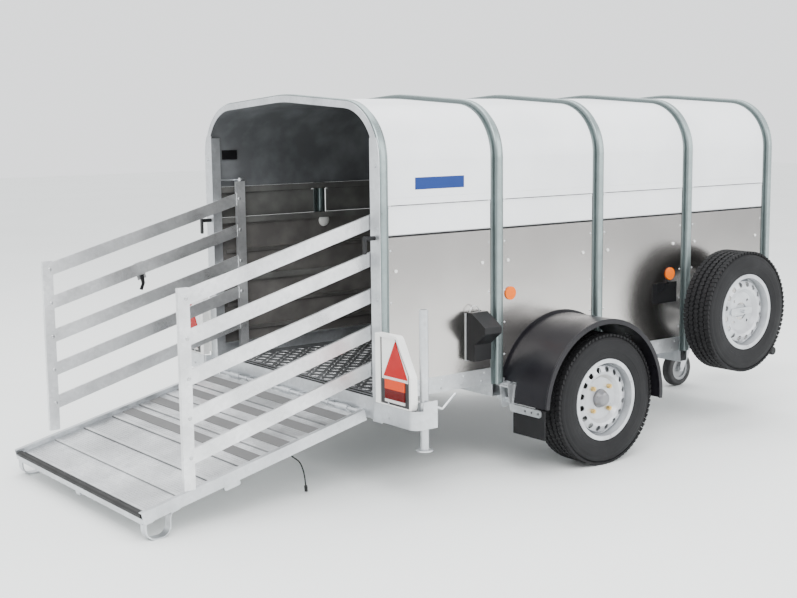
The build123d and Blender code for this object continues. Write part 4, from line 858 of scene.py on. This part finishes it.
class TRAILER_OT_stage(PieceOperator):
    """Pale floor, soft studio light and the camera."""
    bl_idname = "trailer.stage"
    bl_label = "Stage"

    def make(self):
        bm = bmesh.new()
        add_box(bm, (-30, -30, -0.02), (30, 30, -0.0002))
        floor = bpy.data.objects.new("studio_floor", to_mesh(bm, "studio_floor"))
        bpy.context.scene.collection.objects.link(floor)
        f = Finish("studio floor")
        f.to("Base Color", f.mix(f.span(f.noise(0.6), 0.3, 0.7), (0.90, 0.92, 0.905), (0.93, 0.95, 0.935)))
        plain = f.shader.inputs["Base Color"].links[0].from_socket
        f.to("Base Color", f.mix(f.span(f.axis("Y"), -8.0, -3.2), (0.30, 0.30, 0.31), plain))
        f.shader.inputs["Roughness"].default_value = 0.55
        floor.data.materials.append(f.material)
        world = bpy.data.worlds.new("studio")
        world.use_nodes = True
        world.node_tree.nodes["Background"].inputs[0].default_value = (0.97, 0.985, 1.0, 1)
        world.node_tree.nodes["Background"].inputs[1].default_value = 1.75
        bpy.context.scene.world = world
        for name, place, aim, width, power in (
                ("key", (-3.5, -4.5, 5.5), (0, 0, 0.8), 4.0, 420),
                ("fill", (4.0, -6.0, 3.0), (0.5, 0, 0.7), 4.0, 220),
                ("top", (0.0, 1.0, 6.5), (0, 0, 0), 6.0, 380)):
            light = bpy.data.lights.new(name, "AREA")
            light.size = width
            light.energy = power
            lamp = bpy.data.objects.new(name, light)
            lamp.location = place
            lamp.rotation_euler = (Vector(aim) - Vector(place)).to_track_quat("-Z", "Y").to_euler()
            bpy.context.scene.collection.objects.link(lamp)
        yaw, pitch, roll = 0.9149, -0.1384, -0.0112
        ahead = Vector((cos(yaw) * cos(pitch), sin(yaw) * cos(pitch), sin(pitch)))
        right = Vector((sin(yaw), -cos(yaw), 0))
        up = right.cross(ahead)
        turned_right = cos(roll) * right + sin(roll) * up
        turned_up = cos(roll) * up - sin(roll) * right
        camera = bpy.data.objects.new("camera", bpy.data.cameras.new("camera"))
        camera.data.lens = 58.84
        camera.data.sensor_width = 36
        camera.data.sensor_fit = "HORIZONTAL"
        camera.matrix_world = (Matrix.Translation(at(-3.084, -4.7813, 1.5171))
                               @ Matrix((turned_right, turned_up, -ahead)).transposed().to_4x4())
        bpy.context.scene.collection.objects.link(camera)
        bpy.context.scene.camera = camera


PIECES = (TRAILER_OT_shell, TRAILER_OT_shell_trim, TRAILER_OT_plates, TRAILER_OT_frame, TRAILER_OT_floor,
          TRAILER_OT_ramp, TRAILER_OT_gates, TRAILER_OT_tyres, TRAILER_OT_rims, TRAILER_OT_guards,
          TRAILER_OT_lamps, TRAILER_OT_lead, TRAILER_OT_stage)


class TRAILER_PT_panel(bpy.types.Panel):
    """Lists the trailer's settings and pieces."""
    bl_idname = "TRAILER_PT_panel"
    bl_label = "Livestock trailer"
    bl_space_type = "VIEW_3D"
    bl_region_type = "UI"
    bl_category = "Trailer"

    def draw(self, context):
        layout = self.layout
        for group in (context.scene.trailer_sizes, context.scene.trailer_colours):
            for name in group.__annotations__:
                layout.prop(group, name)
        for piece in PIECES:
            layout.operator(piece.bl_idname)


CLASSES = (TrailerSizes, TrailerColours, *PIECES, TRAILER_PT_panel)


def register():
    for item in CLASSES:
        bpy.utils.register_class(item)
    bpy.types.Scene.trailer_sizes = PointerProperty(type=TrailerSizes)
    bpy.types.Scene.trailer_colours = PointerProperty(type=TrailerColours)


def unregister():
    del bpy.types.Scene.trailer_sizes
    del bpy.types.Scene.trailer_colours
    for item in reversed(CLASSES):
        bpy.utils.unregister_class(item)


def main():
    register()
    for piece in PIECES:
        getattr(bpy.ops.trailer, piece.bl_idname.split(".")[1])()
    bpy.context.view_layer.update()


if __name__ == "__main__":
    main()
